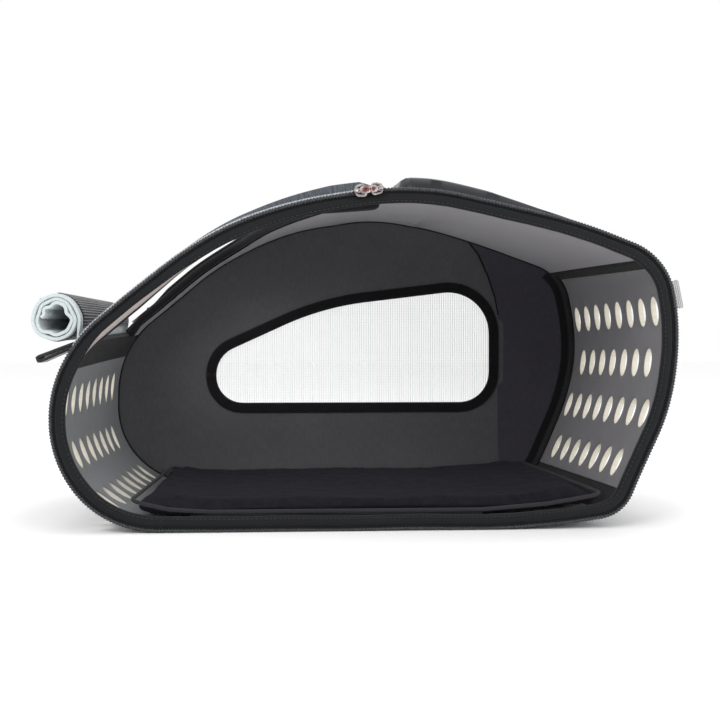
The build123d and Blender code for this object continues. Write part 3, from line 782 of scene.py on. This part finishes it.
# The far rim: piping between the walls and the closed side
FAR_BAND = [
    (0.3, 116.0), (0.9, 118.0), (0.4, 120.2), (-1.2, 121.0), (-3.0, 120.6), (-6.0, 120.2), (-7.4, 119.0),
    (-7.6, 117.4), (-6.6, 116.2), (-3.0, 115.9),
]
profile_sweep("far_rim", FAR_BAND, 0, SIDES, BINDING, "rim_fabric", "far_rim_band", 3.5, soft_ripple(1.9))


# ---------------------------------------------------------------- window in the slope

def raised_pad(name, outer, height, material, node, soften, step):
    """A padded patch on the walls: its height falls away round its edge."""
    flat, faces = fill(outer, [], step)
    gap = np.full(len(flat), 1e3)
    for p in outer:
        gap = np.minimum(gap, np.hypot(*(flat - p).T))
    off = 0.5 + height(flat) * np.sqrt(dome(gap, soften))
    top, under = (place(flat[:, 0], flat[:, 1], v) for v in (off, 0.1))
    return slab(name, flat, faces, top, under, [material], node)


def heights(table, low=None):
    """Height over the walls from a table of stations, at most low away from the near edge."""
    stations, tall = zip(*table)

    def height(flat):
        tall_at = np.interp(flat[:, 0], length_at(stations), tall)
        if low is None:
            return tall_at
        share = np.clip((flat[:, 1] + 101) / 12, 0, 1)
        return tall_at * (1 - share) + np.minimum(tall_at, low) * share

    return height


CROWN = [(5.94, 2.0), (5.99, 6), (6.06, 9), (6.4, 9.5), (6.7, 5.2), (6.93, 2.2), (7.5, 1.0), (7.64, 0.8)]
CROWN_HALF = 111.3
CROWN_NEAR_EDGE = -103.5
crown_low, crown_top = length_at(7.6), length_at(5.94)
crown_line = window_line(4.5)
crown_line = crown_line[crown_line[:, 0] < crown_low]
crown_line[:, 1] = np.maximum(crown_line[:, 1], CROWN_NEAR_EDGE)
edge_run = np.arange(crown_low, crown_top, -4.0)
edge_y = np.arange(CROWN_HALF - 4, -CROWN_HALF, -4.0)
crown_outer = np.concatenate([
    np.stack([edge_run[::-1], 0 * edge_run - CROWN_HALF], 1), [[crown_low, -CROWN_HALF]],
    [[crown_low, crown_line[0][1]]], crown_line, [[crown_low, crown_line[-1][1]]],
    np.stack([edge_run, 0 * edge_run + CROWN_HALF], 1), [[crown_top, CROWN_HALF]],
    np.stack([0 * edge_y + crown_top, edge_y], 1), [[crown_top, -CROWN_HALF]],
])
crown_pad = raised_pad("window_crown_pad", crown_outer, heights(CROWN, 4.4), MELANGE,
                       "window_crown", soften=4.5, step=3.6)

for tag, y in (("near", ZIP_Y), ("far", -ZIP_Y)):
    coil_along(f"window_coil_{tag}", 5.93, 7.66, 1.3, y, COIL_LIGHT, "window_zip_coil", tall=2.4)
top_y = np.arange(ZIP_Y, -ZIP_Y + 0.1, 0.6)[:, None]
top_swell = np.tile([0.8, 1.0, 1.0, 0.8], len(top_y) // 4 + 1)[:len(top_y), None]
top_a, top_off = oval(2.6, 2.4, 8, 2.6).T
top_verts = place(length_at(5.928) + top_a * top_swell, top_y, 1.3 + top_off * top_swell)
tube("window_coil_top", top_verts, top_y, np.arange(8.0), COIL_LIGHT)

# The binding round the window is padded and sinks into the wall at the sill
SILL_A = length_at(SILL)
line = window_line(3.0, 3.0)
sink = np.clip((line[:, 0] - SILL_A + 22) / 18, 0, 1)
binding_tube = path_sweep("window_binding_tube", place(line[:, 0], line[:, 1], -1.0 - 3.2 * sink),
                          normal_at(line[:, 0]), oval(9.0, 8.0, 18, 2.2), BINDING,
                          "window_binding")

# A flat binding stands up along the slanting and far edges of the window
line = window_line(3.2, 3.0)
line = line[line[:, 1] > -98]
sink = np.clip((line[:, 0] - SILL_A + 60) / 30, 0, 1)
path_sweep("window_lip_binding", place(line[:, 0], line[:, 1], 2.0 - 4.2 * sink), normal_at(line[:, 0]),
           oval(3.4, 7.6, 14, 3.0), BINDING)

# A pale tape shows along the band's inner edge beside the window, piped with black; it narrows
# to nothing at both ends
TAPE_ENDS = (6.90, 7.66)
TAPE_TAPER = 60.0
TAPE_POINT = 26.0
TAPE_MIDDLE = -12.0


def tape_taper(along, off, y):
    first, last = (length_at(end) for end in TAPE_ENDS)
    share = np.clip(np.minimum((along - first) / TAPE_TAPER, (last - along) / TAPE_POINT), 0.02, 1)
    return TAPE_MIDDLE + (off - TAPE_MIDDLE) * share, y


PALE_TAPE = [
    (-10.4, -120.0), (-10.4, -121.5), (-11.2, -121.9), (-13.0, -121.6), (-13.9, -120.8), (-13.9, -119.6),
]
TAPE_PIPING = [
    (-13.6, -120.2), (-13.9, -121.2), (-14.6, -121.4), (-15.1, -120.8), (-15.1, -119.8), (-14.4, -119.4),
]
profile_sweep("window_tape", PALE_TAPE, *TAPE_ENDS, TAPE_CLOTH, "binding_fabric", ripple=tape_taper)
profile_sweep("window_tape_piping", TAPE_PIPING, *TAPE_ENDS, BINDING, "binding_fabric", ripple=tape_taper)

# The padded end of the window's binding shows below the band near the top of the window
lobe_along = np.linspace(length_at(5.945), length_at(6.5), 70)
lobe_run = lobe_along - lobe_along[0]
lobe_points = place(lobe_along, -113.5, -12.2 + 3.4 * (lobe_run / lobe_run[-1]) ** 1.6)
lobe_swell = np.sqrt(np.clip(dome(lobe_run, 7.0), 0.02, 1))[:, None]
path_sweep("window_binding_end", lobe_points, normal_at(lobe_along), oval(9.0, 8.2, 16, 2.4), BINDING,
           swell=lobe_swell)

# ---------------------------------------------------------------- roof pocket

POCKET = [(3.92, 3), (4.0, 6), (4.5, 6.5), (4.8, 8.5), (5.136, 12.5), (5.62, 13.5), (5.76, 13), (5.81, 12)]
POCKET_HALF = 93.5
pocket_outer = rectangle((length_at(3.92), -POCKET_HALF), (length_at(5.808), POCKET_HALF), 13.0, 4.0)
raised_pad("roof_pocket_shell", pocket_outer, heights(POCKET), MOULDED,
           "roof_pocket_cover", soften=7.5, step=3.6)
for tag, y in (("near", POCKET_ZIP_Y), ("far", -POCKET_ZIP_Y)):
    coil_along(f"roof_pocket_coil_{tag}", 4.0, 5.78, 1.3, y, COIL_LIGHT, "roof_pocket_coil", tall=2.4)

# ---------------------------------------------------------------- closed side

back_hole = rounded(BACK_WINDOW, BACK_WINDOW_RADII, 4.0)
back_outer = place(np.arange(0, ROUND, 4.0), FAR_Y, -0.5)[:, [0, 2]]
SEAM = np.array([(115, 277), (127, 265), (142, 248), (154, 225), (161.5, 204), (165.5, 183.5)])
seam_line = rounded(SEAM, 20.0, 2.0, closed=False)
seam_way = unit(np.gradient(seam_line, axis=0))
seam_side = np.stack([seam_way[:, 1], -seam_way[:, 0]], 1)
seam_rows = [seam_line + seam_side * k for k in (-3.4, -1.7, 0, 1.7, 3.4)]


def back_rise(gap):
    """How far the closed side stands out at a distance from its edge."""
    return BACK_DEPTH * dome(gap, BACK_DOME, 2.2)


flat, faces = fill(back_outer, [back_hole], 6.0, seam_rows)
gap = line_gap(flat, back_outer, True)
groove = 1.6 * np.exp(-(line_gap(flat, SEAM) / 2.2) ** 2)
wobble = 0.5 * np.sin(flat[:, 0] / 31) * np.sin(flat[:, 1] / 23)
y_out = FAR_Y + back_rise(gap) - groove + wobble * np.clip(gap / BACK_DOME, 0, 1)
seam_y = FAR_Y + back_rise(line_gap(seam_line, back_outer, True)) - 2.0
seam_points = np.stack([seam_line[:, 0], seam_y, seam_line[:, 1]], 1)
path_sweep("back_seam", seam_points, NEARWARD, oval(1.9, 1.6, 8), BINDING)
outside = np.stack([flat[:, 0], y_out, flat[:, 1]], 1)
within = np.stack([flat[:, 0], y_out - 3 + 2 * groove, flat[:, 1]], 1)
back = slab("back_dome", flat, faces, outside, within, [BACK_CLOTH, BINDING, BACK_CLOTH, BACK_CLOTH_PAINTED_SHADE],
            "back_panel", side_mark=1, inner_mark=2)
# Past the seam the closed side takes the darker, bluer copy of its cloth, painted shade
beyond_seam = seam_line[np.argsort(seam_line[:, 1])]
for polygon in back.data.polygons:
    x, _, z = polygon.center / MM
    if polygon.material_index != 1 and x > np.interp(z, beyond_seam[:, 1], beyond_seam[:, 0]) + 1:
        polygon.material_index = 3

# The mesh window's binding lies 3.5 mm outside its hole, with a flatter trim behind it
edge_way = unit(back_hole - np.roll(back_hole, 1, 0))
grown = back_hole + np.stack([edge_way[:, 1], -edge_way[:, 0]], 1) * 3.5
for name, y, up, section, node in (
    ("back_binding", 134.2, NEARWARD, oval(11.0, 4.6, 14, 2.5), "back_window_binding"),
    ("back_trim", 138.8, FARWARD, oval(8.5, 2.6, 12, 2.5), None),
):
    ring = np.stack([grown[:, 0], 0 * grown[:, 0] + y, grown[:, 1]], 1)
    path_sweep(name, ring, up, section, BINDING, node, closed=True)


def crossings(loop, at, axis):
    """Where a line at one value of an axis crosses a loop."""
    hits = []
    for p, q in zip(loop, np.roll(loop, -1, 0)):
        if (p[axis] - at) * (q[axis] - at) < 0:
            share = (at - p[axis]) / (q[axis] - p[axis])
            hits.append(p[1 - axis] + (q[1 - axis] - p[1 - axis]) * share)
    return sorted(hits)


def net(name, loop, y, node):
    """A see-through mesh: upright ribs and finer threads across, cut to a loop in X and Z."""
    verts, faces = [], []
    for axis, pitch, wide, half_thick in ((0, 2.4, 0.7, 0.25), (1, 1.7, 0.28, 0.15)):
        for at in np.arange(loop[:, axis].min() + pitch / 2, loop[:, axis].max(), pitch):
            hits = crossings(loop, at, axis)
            for ends in zip(hits[::2], hits[1::2]):
                faces += [tuple(len(verts) + i for i in f) for f in tube_faces(2, 4)]
                for end in ends:
                    for a, b in ((-1, -1), (1, -1), (1, 1), (-1, 1)):
                        side, depth = at + a * wide / 2, y + b * half_thick
                        verts.append((side, depth, end) if axis == 0 else (end, depth, side))
    obj = mesh_piece(name, verts, faces, [NET], node)
    obj.data.polygons.foreach_set("use_smooth", [False] * len(faces))


net("back_net", back_hole, 136.6, "back_mesh")


# ---------------------------------------------------------------- metal parts

def local(origin, x_way, z_way):
    """A local frame as (origin, x, y, z): z is up from the surface, x along it."""
    z = unit(np.array(z_way, float))
    x = np.array(x_way, float)
    x = unit(x - z * (x @ z))
    return np.array(origin, float), x, np.cross(z, x), z


def into(frame_at, points, height=None):
    """Local points in the row frame; flat points lie at a height."""
    origin, *axes = frame_at
    points = np.array(points, float)
    if height is not None:
        points = np.column_stack([points, np.full(len(points), height)])
    return origin + points @ np.array(axes)


def plate(name, loop, low, high, frame_at, material, node=None, body="shell", holes=(), bevel=0.35,
          step=1.2):
    """A flat piece cut to a loop, with its edges bevelled."""
    flat, faces = fill(loop, holes, step)
    top, under = into(frame_at, flat, high), into(frame_at, flat, low)
    obj = slab(name, flat, faces, top, under, [material], node, body)
    made = obj.modifiers.new("bevel", "BEVEL")
    made.width = bevel * MM
    made.segments = 3
    made.limit_method = "ANGLE"
    made.angle_limit = math.radians(50)


def bent_bar(name, line, wide, thick, frame_at, material, node=None, body="shell", closed=False,
             power=3.0):
    """A bar of rounded section along a line in a local frame."""
    path_sweep(name, into(frame_at, line), frame_at[3], oval(wide, thick, 12, power), material,
               node, body, closed)


def pill(length, width, step, centre):
    r = width / 2
    return rectangle((centre - length / 2, -r), (centre + length / 2, r), r * 0.96, step)


# Where a pull's tab starts, from its pin, and where the rim's sliders sit
PULL_START = 2.6
RIM_SLIDER = (-121.6, 0.2)


def zip_slider(tag, names, mid, y, off, tab, ends, pull_length, pin, wide, on_rim=False):
    """A zip slider with its bridge, and its pull on the bridge. names are the bodies' and nodes'."""
    slider, pull = names
    a = length_at(mid)
    along = (place(a + 1, y, off) - place(a - 1, y, off)) * tab
    at = local(place(a, y, off), along, NEARWARD if on_rim else normal_at(a))
    half, slim = span(*ends) / 2, wide / 2
    lower = [(-half, 1.2 - slim), (half - 1.5, -slim), (half, -slim / 2)]
    upper = [(x, -v) for x, v in lower[::-1]]
    nose = rounded(lower + upper, [wide * 0.3, 2.4, 1.6, 1.6, 2.4, wide * 0.3], 0.7)
    plate(f"{tag}_slider_top", nose, 1.7, 3.4, at, ZIP_SILVER, slider, slider,
          [(nose * [0.72, 0.66])[::-1]], 0.4)
    plate(f"{tag}_slider_recess", nose * [0.78, 0.72], 1.6, 2.3, at, COIL_DARK, None, slider,
          bevel=0.1)
    plate(f"{tag}_slider_under", nose * [0.94, 0.76], -1.0, 1.65, at, COIL_DARK, None, slider,
          bevel=0.3)
    arch = [(pin - 2.3 + 4.6 * t, 0, 2.4 + 3.0 * math.sin(math.pi * t) ** 0.6) for t in np.linspace(0, 1, 15)]
    bent_bar(f"{tag}_slider_bridge", arch, 2.4, 1.1, at, ZIP_SILVER, None, slider)
    ring_at = local(into(at, [(pin, 0, 4.0)])[0], at[1], at[3])
    eye = pill(4.6, 3.4, 0.5, 0.6)
    bent_bar(f"{tag}_pull_link", np.column_stack([eye, 0 * eye[:, 0]]), 0.9, 1.0, ring_at, ZIP_SILVER,
             None, pull, closed=True)
    tab_long = pull_length - PULL_START
    middle = PULL_START + tab_long / 2
    opening = pill(tab_long - 3.4, 3.2, 0.6, middle + 0.3)
    plate(f"{tag}_pull_tab", pill(tab_long, 6.2, 0.6, middle), -0.7, 0.7, ring_at, ZIP_SILVER,
          pull, pull, [opening], 0.3)
    plate(f"{tag}_pull_fill", opening * [0.98, 1.04] + [0.04 * half, 0], -0.35, 0.35, ring_at, ZIP_ROSE,
          None, pull, bevel=0.05)


zip_slider("rim_left", ("rim_slider_left", "rim_pull_left"), 6.09, *RIM_SLIDER, -1, (6.026, 6.153), 12.4,
           -span(6.09, 6.137), 11.6, on_rim=True)
zip_slider("rim_right", ("rim_slider_right", "rim_pull_right"), 5.9585, *RIM_SLIDER, 1, (5.925, 5.992), 9.6,
           -span(5.935, 5.9585), 11.0, on_rim=True)
zip_slider("window", ("window_slider", "window_pull"), 7.46, -ZIP_Y, 1.6, 1, (7.42, 7.5), 22.0, 0.0, 7.4)
zip_slider("pocket", ("pocket_slider", "pocket_pull"), 5.45, -POCKET_ZIP_Y, 1.6, -1, (5.40, 5.5), 20.0,
           span(5.43, 5.45), 7.4)

# These CAD nodes are shown as they are, with a finish of their own
for name, material, slot in (
    ("front_d_ring", RING_STEEL, "ring_metal"),
    ("rear_d_ring", RING_STEEL, "ring_metal"),
    ("floor_board", BOARD, "board"),
):
    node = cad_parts[name]
    node.data.materials.clear()
    node.data.materials.append(material)
    if material == RING_STEEL:
        node.data.polygons.foreach_set("use_smooth", [True] * len(node.data.polygons))


# ---------------------------------------------------------------- webbing

TAB_HALF, TAB_REACH, TAB_LIFT, TAB_TURN = 12.0, 11.0, 4.8, 3.1


def sewn_box(name, frame_at, low, high, corner_radius, height):
    """A rectangle of stitches on webbing."""
    box = rectangle(low, high, corner_radius)
    stitches(name, into(frame_at, np.vstack([box, box[:1]]), height), frame_at[3])


def folded_tab(name, station, down, node):
    """Webbing folded round a ring's bar and sewn down to the wall below it."""
    a = length_at(station)
    at = local(place(a, 0, 0), (place(a + 1, 0, 0) - place(a - 1, 0, 0)) * down, normal_at(a))
    loop = [(-TAB_REACH - 8, 0, 0.9), (-TAB_REACH, 0, 1.0), (-5.5, 0, 1.4), (-3.4, 0, 2.4)]
    for t in np.linspace(math.pi / 2, -math.pi / 2 - 0.6, 12):
        loop.append((-TAB_TURN * math.sin(t), 0, TAB_LIFT + TAB_TURN * math.cos(t)))
    loop += [(-1.0, 0, 2.6), (-4.5, 0, 2.9), (-TAB_REACH, 0, 2.9), (-TAB_REACH - 8, 0, 2.8)]
    bent_bar(name, loop, TAB_HALF * 2, 1.5, at, WEB_DARK, node, power=6.0)
    low, high = (-TAB_REACH - 6, 2 - TAB_HALF), (4 - TAB_REACH, TAB_HALF - 2)
    sewn_box(name + "_stitches", at, low, high, 0.6, 3.6)


folded_tab("front_tab_webbing", 7.80, 1, "front_ring_tab")
folded_tab("rear_tab_webbing", 3.62, -1, "rear_ring_tab")

# A pale woven loop in the rear seam
tab_loop = rectangle((length_at(2.94), -1.0), (length_at(3.56), 9.6), 1.2)
flat, faces = fill(tab_loop, [], 2.0)
bend = 0.7 * np.sin(flat[:, 0] / 6.0) + 0.05 * flat[:, 1]
tab_near, tab_far = (place(flat[:, 0], y + bend, flat[:, 1]) for y in (-113.6, -111.4))
slab("side_tab_web", flat, faces, tab_near, tab_far, [WEB_LIGHT], "side_tab")

# ---------------------------------------------------------------- rear handle

HANDLE_HALF, PIVOT_Y, PIVOT_Z, DROP, WEB = 62.0, 144.4, 244.0, 26.0, 20.0
GRIP_Z = PIVOT_Z - DROP
# The anchors lie on the closed side; lugs hold each bar's two ends off it
ANCHOR_Y, LUG_OUT, LUG_LONG = 138.0, 11.8, 7.4
handle_line = rounded([(-HANDLE_HALF, PIVOT_Z), (-HANDLE_HALF, GRIP_Z), (HANDLE_HALF, GRIP_Z),
                       (HANDLE_HALF, PIVOT_Z)], [0, 11.0, 11.0, 0], 2.0, closed=False)
handle_y = PIVOT_Y + 0.4 * np.sin(handle_line[:, 0] / 9)
handle_points = np.stack([handle_line[:, 0], handle_y, handle_line[:, 1]], 1)
path_sweep("handle_webbing", handle_points, FARWARD, oval(WEB, 2.6, 20, 8.0), WEB_DARK,
           "rear_handle", "handle")
for tag, side in (("left", -1), ("right", 1)):
    x = side * HANDLE_HALF
    for piece, half, count, section, material, slot, body in (
        ("handle_eye", 10.0, 12, oval(5.4, 5.4, 18), WEB_DARK, "webbing", "handle"),
        ("anchor_bar", 13.0, 6, oval(2.4, 2.4, 14), RING_STEEL, "ring_metal", "shell"),
    ):
        bar = [(x + k, PIVOT_Y, PIVOT_Z) for k in np.linspace(-half, half, count)]
        path_sweep(f"{piece}_{tag}", bar, FARWARD, section, material, body=body)
    at = local((x, ANCHOR_Y, PIVOT_Z - 8), (1, 0, 0), FARWARD)
    patch = rectangle((-12.5, -11), (12.5, 12), 2.5, 1.5)
    node = "handle_anchors" if side < 0 else None
    plate(f"anchor_patch_{tag}", patch, 0, 1.8, at, BINDING, node, bevel=0.6, step=3)
    sewn_box(f"anchor_stitches_{tag}", at, (-10.5, -9), (10.5, 10), 1.0, 1.8)
    for k, end in enumerate((-1, 1)):
        lug = [(x + end * LUG_OUT, ANCHOR_Y + 0.5 + s, PIVOT_Z) for s in np.linspace(0, LUG_LONG, 6)]
        path_sweep(f"anchor_lug_{tag}_{k}", lug, UPWARD, oval(2.6, 5.0, 14, 3.0), RING_STEEL)

# A padded grip round the handle's middle
GRIP_HALF, GRIP_ROUND = 44.0, 6.0
grip_x = np.linspace(-GRIP_HALF, GRIP_HALF, 30)[:, None]
taken_in = np.clip((np.abs(grip_x) - GRIP_HALF + GRIP_ROUND) / GRIP_ROUND, 0, 1)
grip_swell = np.sqrt(np.clip(1 - taken_in ** 2, 0.05, 1))
across, deep = oval(22.0, 8.4, 20, 3.0).T
grip_verts = np.stack(np.broadcast_arrays(
    grip_x, PIVOT_Y + deep * grip_swell, GRIP_Z + across * (0.86 + 0.14 * grip_swell)), -1)
grip = tube("handle_grip_pad", grip_verts, grip_x, np.arange(20.0) * 3, BINDING, "handle_grip",
            "handle")
grip_seam = np.array([(x, PIVOT_Y + 4.3, GRIP_Z) for x in np.linspace(-38, 38, 60)])
stitches("handle_grip_stitches", grip_seam, FARWARD, body="handle")

# ---------------------------------------------------------------- fleece pad

PAD_CURVE = np.array([(-198, 21), (-165, 14.2), (-130, 12.3), (95, 12.3), (150, 16.5), (199, 24.5)])
PAD_NEAR, PAD_FAR, PAD_TAPER = -117.0, 112.0, 0.93
PAD_VOXEL, PAD_PRESSURE, PAD_CAP, PAD_FRAMES = 4.5, 2.0, 4.0, 20


def pad_point(x, y, up):
    """A point of the pad: x is its place on the near edge, up its height over the underside."""
    scale = 1 + (PAD_TAPER - 1) * (y - PAD_NEAR) / (PAD_FAR - PAD_NEAR)
    return np.stack([x * scale, y, np.interp(x, *PAD_CURVE.T) + up], -1)


def apply_all(obj):
    graph = bpy.context.evaluated_depsgraph_get()
    made = bpy.data.meshes.new_from_object(obj.evaluated_get(graph))
    obj.modifiers.clear()
    obj.data = made


def inflate(obj):
    """Lets cloth under pressure round a closed mesh out, with a cap on how far a point may move."""
    rest = np.array([v.co for v in obj.data.vertices])
    settings = obj.modifiers.new("cloth", "CLOTH").settings
    settings.use_pressure = True
    settings.uniform_pressure_force = PAD_PRESSURE
    settings.effector_weights.gravity = 0
    settings.quality = 4
    for k in range(1, PAD_FRAMES + 1):
        bpy.context.scene.frame_set(k)
    bpy.context.view_layer.update()
    shaped = obj.evaluated_get(bpy.context.evaluated_depsgraph_get())
    shift = np.array([v.co for v in shaped.to_mesh().vertices]) - rest
    shaped.to_mesh_clear()
    obj.modifiers.clear()
    bpy.context.scene.frame_set(1)
    size = np.linalg.norm(shift, axis=1, keepdims=True)
    shift *= np.minimum(1, PAD_CAP * MM / np.maximum(size, 1e-9))
    obj.data.vertices.foreach_set("co", (rest + shift).ravel())


def rumple(obj, layers):
    """Moves a mesh along its normals by smooth noise: (size in mm, amount in mm) layers."""
    count = len(obj.data.vertices)
    co, no = np.zeros(count * 3), np.zeros(count * 3)
    obj.data.vertices.foreach_get("co", co)
    obj.data.vertices.foreach_get("normal", no)
    co, no = co.reshape(-1, 3), no.reshape(-1, 3)
    push = np.zeros(count)
    for size, amount in layers:
        scale = 1 / (size * MM)
        push += [amount * MM * noise.noise(Vector(p) * scale) for p in co]
    obj.data.vertices.foreach_set("co", (co + no * push[:, None]).ravel())
    obj.data.update()


pad_loop = rectangle((-197, -116), (198, 111), 12, 5)
flat, faces = fill(pad_loop, [], 7)
soft = np.sqrt(dome(line_gap(flat, pad_loop, True), 5))
top = pad_point(flat[:, 0], flat[:, 1], 4.2 + 4.0 * soft)
under = pad_point(flat[:, 0], flat[:, 1], 3.6 - 3.4 * soft)
sides, rim = shell_faces(faces, len(flat))
pad = fix_normals(mesh_piece("pad_fleece", np.concatenate([top, under]), sides + rim, [FLEECE],
                             "base_pad", "pad"))
bpy.context.view_layer.objects.active = pad
remesh = pad.modifiers.new("remesh", "REMESH")
remesh.mode = "VOXEL"
remesh.voxel_size = PAD_VOXEL * MM
remesh.use_smooth_shade = True
apply_all(pad)
inflate(pad)
subdivide = pad.modifiers.new("subdivide", "SUBSURF")
subdivide.levels = subdivide.render_levels = 1
apply_all(pad)
pad.data.polygons.foreach_set("use_smooth", [True] * len(pad.data.polygons))
rumple(pad, [(60, 1.2), (14, 0.7), (4, 0.45)])

edge = rectangle((-196.2, -116.6), (197.4, 111.4), 12, 3.0)
lift = np.interp(edge[:, 0], [-198, -185, -150, 100, 199], [4.6, 4.2, 3.4, 3.4, 3.6])
path_sweep("pad_piping", pad_point(edge[:, 0], edge[:, 1], lift), UPWARD, oval(3.2, 3.4, 10), PIPING,
           body="pad", closed=True)

# ---------------------------------------------------------------- rolled flap

ROLL_NEAR, ROLL_LONG = -104.0, 206.0
ROLL_CENTRE = np.array([-259.4, 174.6])
ROLL_TURNS, ROLL_OUTER, ROLL_INNER = 2.5, 19.7, 11.2
ROLL_SHRINK = 0.22
FLAP_SEAM = length_at(7.645)
SILL_WAY = place(FLAP_SEAM, FAR_Y, 0.0) - place(FLAP_SEAM, NEAR_Y, 0.0)
SILL_WAY /= SILL_WAY[1]
seam_flat = place(FLAP_SEAM, ROLL_NEAR, 2.2)[[0, 2]]


def along_sill(flat, y):
    """Points in X and Z at the roll's near end, run y along the sill as the roll narrows."""
    flat = seam_flat + (flat - seam_flat) * (1 - ROLL_SHRINK * y[..., None] / ROLL_LONG)
    return np.stack([flat[..., 0], 0 * y + ROLL_NEAR, flat[..., 1]], -1) + SILL_WAY * y[..., None]


def spiral():
    """The rolled cloth's line in X and Z: from the seam at the sill up round the roll and in."""
    reach = seam_flat - ROLL_CENTRE
    start = math.atan2(reach[1], reach[0]) + math.acos(min(1.0, ROLL_OUTER / np.hypot(*reach)))
    share = np.linspace(0, 1, 150)
    angle = start + share * ROLL_TURNS * 2 * math.pi
    bumps = 0.55 * np.cos(5 * angle + 0.6) + 0.8 * np.cos(3 * angle + 2.0) + 0.35 * np.cos(8 * angle)
    radius = ROLL_OUTER + (ROLL_INNER - ROLL_OUTER) * share + bumps * (0.3 + 1.5 * share ** 2)
    wrap = ROLL_CENTRE + np.stack([np.cos(angle), np.sin(angle)], 1) * radius[:, None]
    lead = seam_flat + (wrap[0] - seam_flat) * np.linspace(0, 1, 10)[:-1, None]
    return np.concatenate([lead, wrap])


def rolled_sheet(name, line, thick, aside, y0, y1, material, node=None):
    """A sheet of cloth along a line in X and Z, run along the sill, with its edges rounded."""
    way = unit(np.gradient(line, axis=0))
    normal = np.stack([way[:, 1], -way[:, 0]], 1)
    ys = np.linspace(y0, y1, 40)
    half = thick / 2
    hem, hem_half = half * 0.55, half * 0.7
    section = [(half, y) for y in ys] + [(hem_half, y1 + hem), (-hem_half, y1 + hem)]
    section += [(-half, y) for y in ys[::-1]] + [(-hem_half, y0 - hem), (hem_half, y0 - hem)]
    n, y = np.array(section).T
    along = distances(line)[:, None]
    thin = 1.0 if aside else np.clip(0.3 + along / 18, 0.3, 1)
    wave = 0.35 * np.sin(along / 7 + 0.4) * np.sin(y / 17 + along / 30)
    n = n * thin + aside + wave * thin
    uv_y, y = y, y + 0.72 * np.sin(along / 23 + 0.4)
    verts = along_sill(line[:, None] + normal[:, None] * n[..., None], y)
    return tube(name, verts, along, uv_y, material, node, "flap")


roll_line = spiral()
cloth = rolled_sheet("flap_cloth", roll_line, 3.1, 0.0, 0.0, ROLL_LONG, ROLL_CLOTH,
                     "flap_roll")
mesh_layer = rolled_sheet("flap_mesh", roll_line[6:100], 0.8, 2.05, 7.0, ROLL_LONG - 6, MESH_BLACK)
for k, at in enumerate((24, 31)):
    way = unit(roll_line[at + 1] - roll_line[at - 1])
    out = np.array([way[1], -way[0]])
    points = along_sill(roll_line[at] + out * 2.5, np.linspace(4, ROLL_LONG - 4, 60))
    path_sweep(f"flap_trim_{k}", points, np.array([out[0], 0, out[1]]), oval(1.8, 1.4, 10),
                            ROLL_TRIM, body="flap")

# The strap that holds the flap: glossy webbing folded back on itself
STRAP_TIP = np.array([-273.6, 140.6])
STRAP_MIDDLE = 12.5
root = place(length_at(7.665), ROLL_NEAR, 2.8)[[0, 2]]
way = unit(STRAP_TIP - root)
out = np.array([way[1], -way[0]])
upper = [root + (STRAP_TIP - root) * t + out * (1.3 + 0.8 * t) for t in np.linspace(0, 0.98, 16)]
turn_back = [STRAP_TIP + way + out * k for k in (1.6, 0.0, -1.6)]
lower = [root + (STRAP_TIP - root) * t - out * (1.3 + 0.8 * t) for t in np.linspace(0.97, 0.2, 14)]
strap_line = np.array(upper + turn_back + lower)
strap_run = distances(strap_line)
even = np.linspace(0, strap_run[-1], 60)
strap_x, strap_z = (np.interp(even, strap_run, strap_line[:, k]) for k in range(2))
points = np.stack([strap_x, np.full(60, ROLL_NEAR), strap_z], 1) + SILL_WAY * STRAP_MIDDLE
path_sweep("flap_strap_webbing", points, np.cross(np.gradient(points, axis=0), FARWARD),
           oval(25.0, 2.7, 20, 8.0), STRAP, "flap_strap", "strap")

# ---------------------------------------------------------------- camera, lights, floor

CAMERA_AT = (-0.0841, -0.9675, 0.1574)
CAMERA_YAW = -3.15
CAMERA_LENS, CAMERA_SENSOR = 51.55, 36.0
CAMERA_SHIFT = (0.05, -0.0286)
scene = bpy.context.scene
camera_data = bpy.data.cameras.new("camera")
camera_data.lens = CAMERA_LENS
camera_data.sensor_width = CAMERA_SENSOR
camera_data.shift_x, camera_data.shift_y = CAMERA_SHIFT
camera = bpy.data.objects.new("camera", camera_data)
camera.location = CAMERA_AT
camera.rotation_euler = (math.pi / 2, 0, math.radians(CAMERA_YAW))
scene.collection.objects.link(camera)
scene.camera = camera

FLOOR_HALF, FLOOR_Z = 6, -0.0005
floor_mesh = bpy.data.meshes.new("floor")
floor_corners = [(x * FLOOR_HALF, y * FLOOR_HALF, FLOOR_Z) for x, y in ((-1, -1), (1, -1), (1, 1), (-1, 1))]
floor_mesh.from_pydata(floor_corners, [], [(0, 1, 2, 3)])
floor_mesh.materials.append(FLOOR_PALE)
floor = bpy.data.objects.new("floor", floor_mesh)
scene.collection.objects.link(floor)

world = bpy.data.worlds.new("studio")
world.use_nodes = True
world.node_tree.nodes["Background"].inputs["Color"].default_value = (1.0, 1.0, 1.0, 1.0)
world.node_tree.nodes["Background"].inputs["Strength"].default_value = 1.0
scene.world = world

for name, place_at, aim, size, power in (
    ("key", (-0.9, -1.6, 1.5), (0, 0, 0.15), 1.1, 14),
    ("fill", (1.2, -1.5, 0.7), (0, 0, 0.15), 1.2, 7),
    ("top", (0.1, 0.3, 1.8), (0, 0, 0.2), 1.4, 8),
):
    lamp_data = bpy.data.lights.new(name, "AREA")
    lamp_data.shape = "DISK"
    lamp_data.size = size
    lamp_data.energy = power
    lamp = bpy.data.objects.new(name, lamp_data)
    lamp.location = place_at
    lamp.rotation_euler = (Vector(aim) - Vector(place_at)).to_track_quat("-Z", "Y").to_euler()
    scene.collection.objects.link(lamp)
scene.view_settings.view_transform = "Standard"
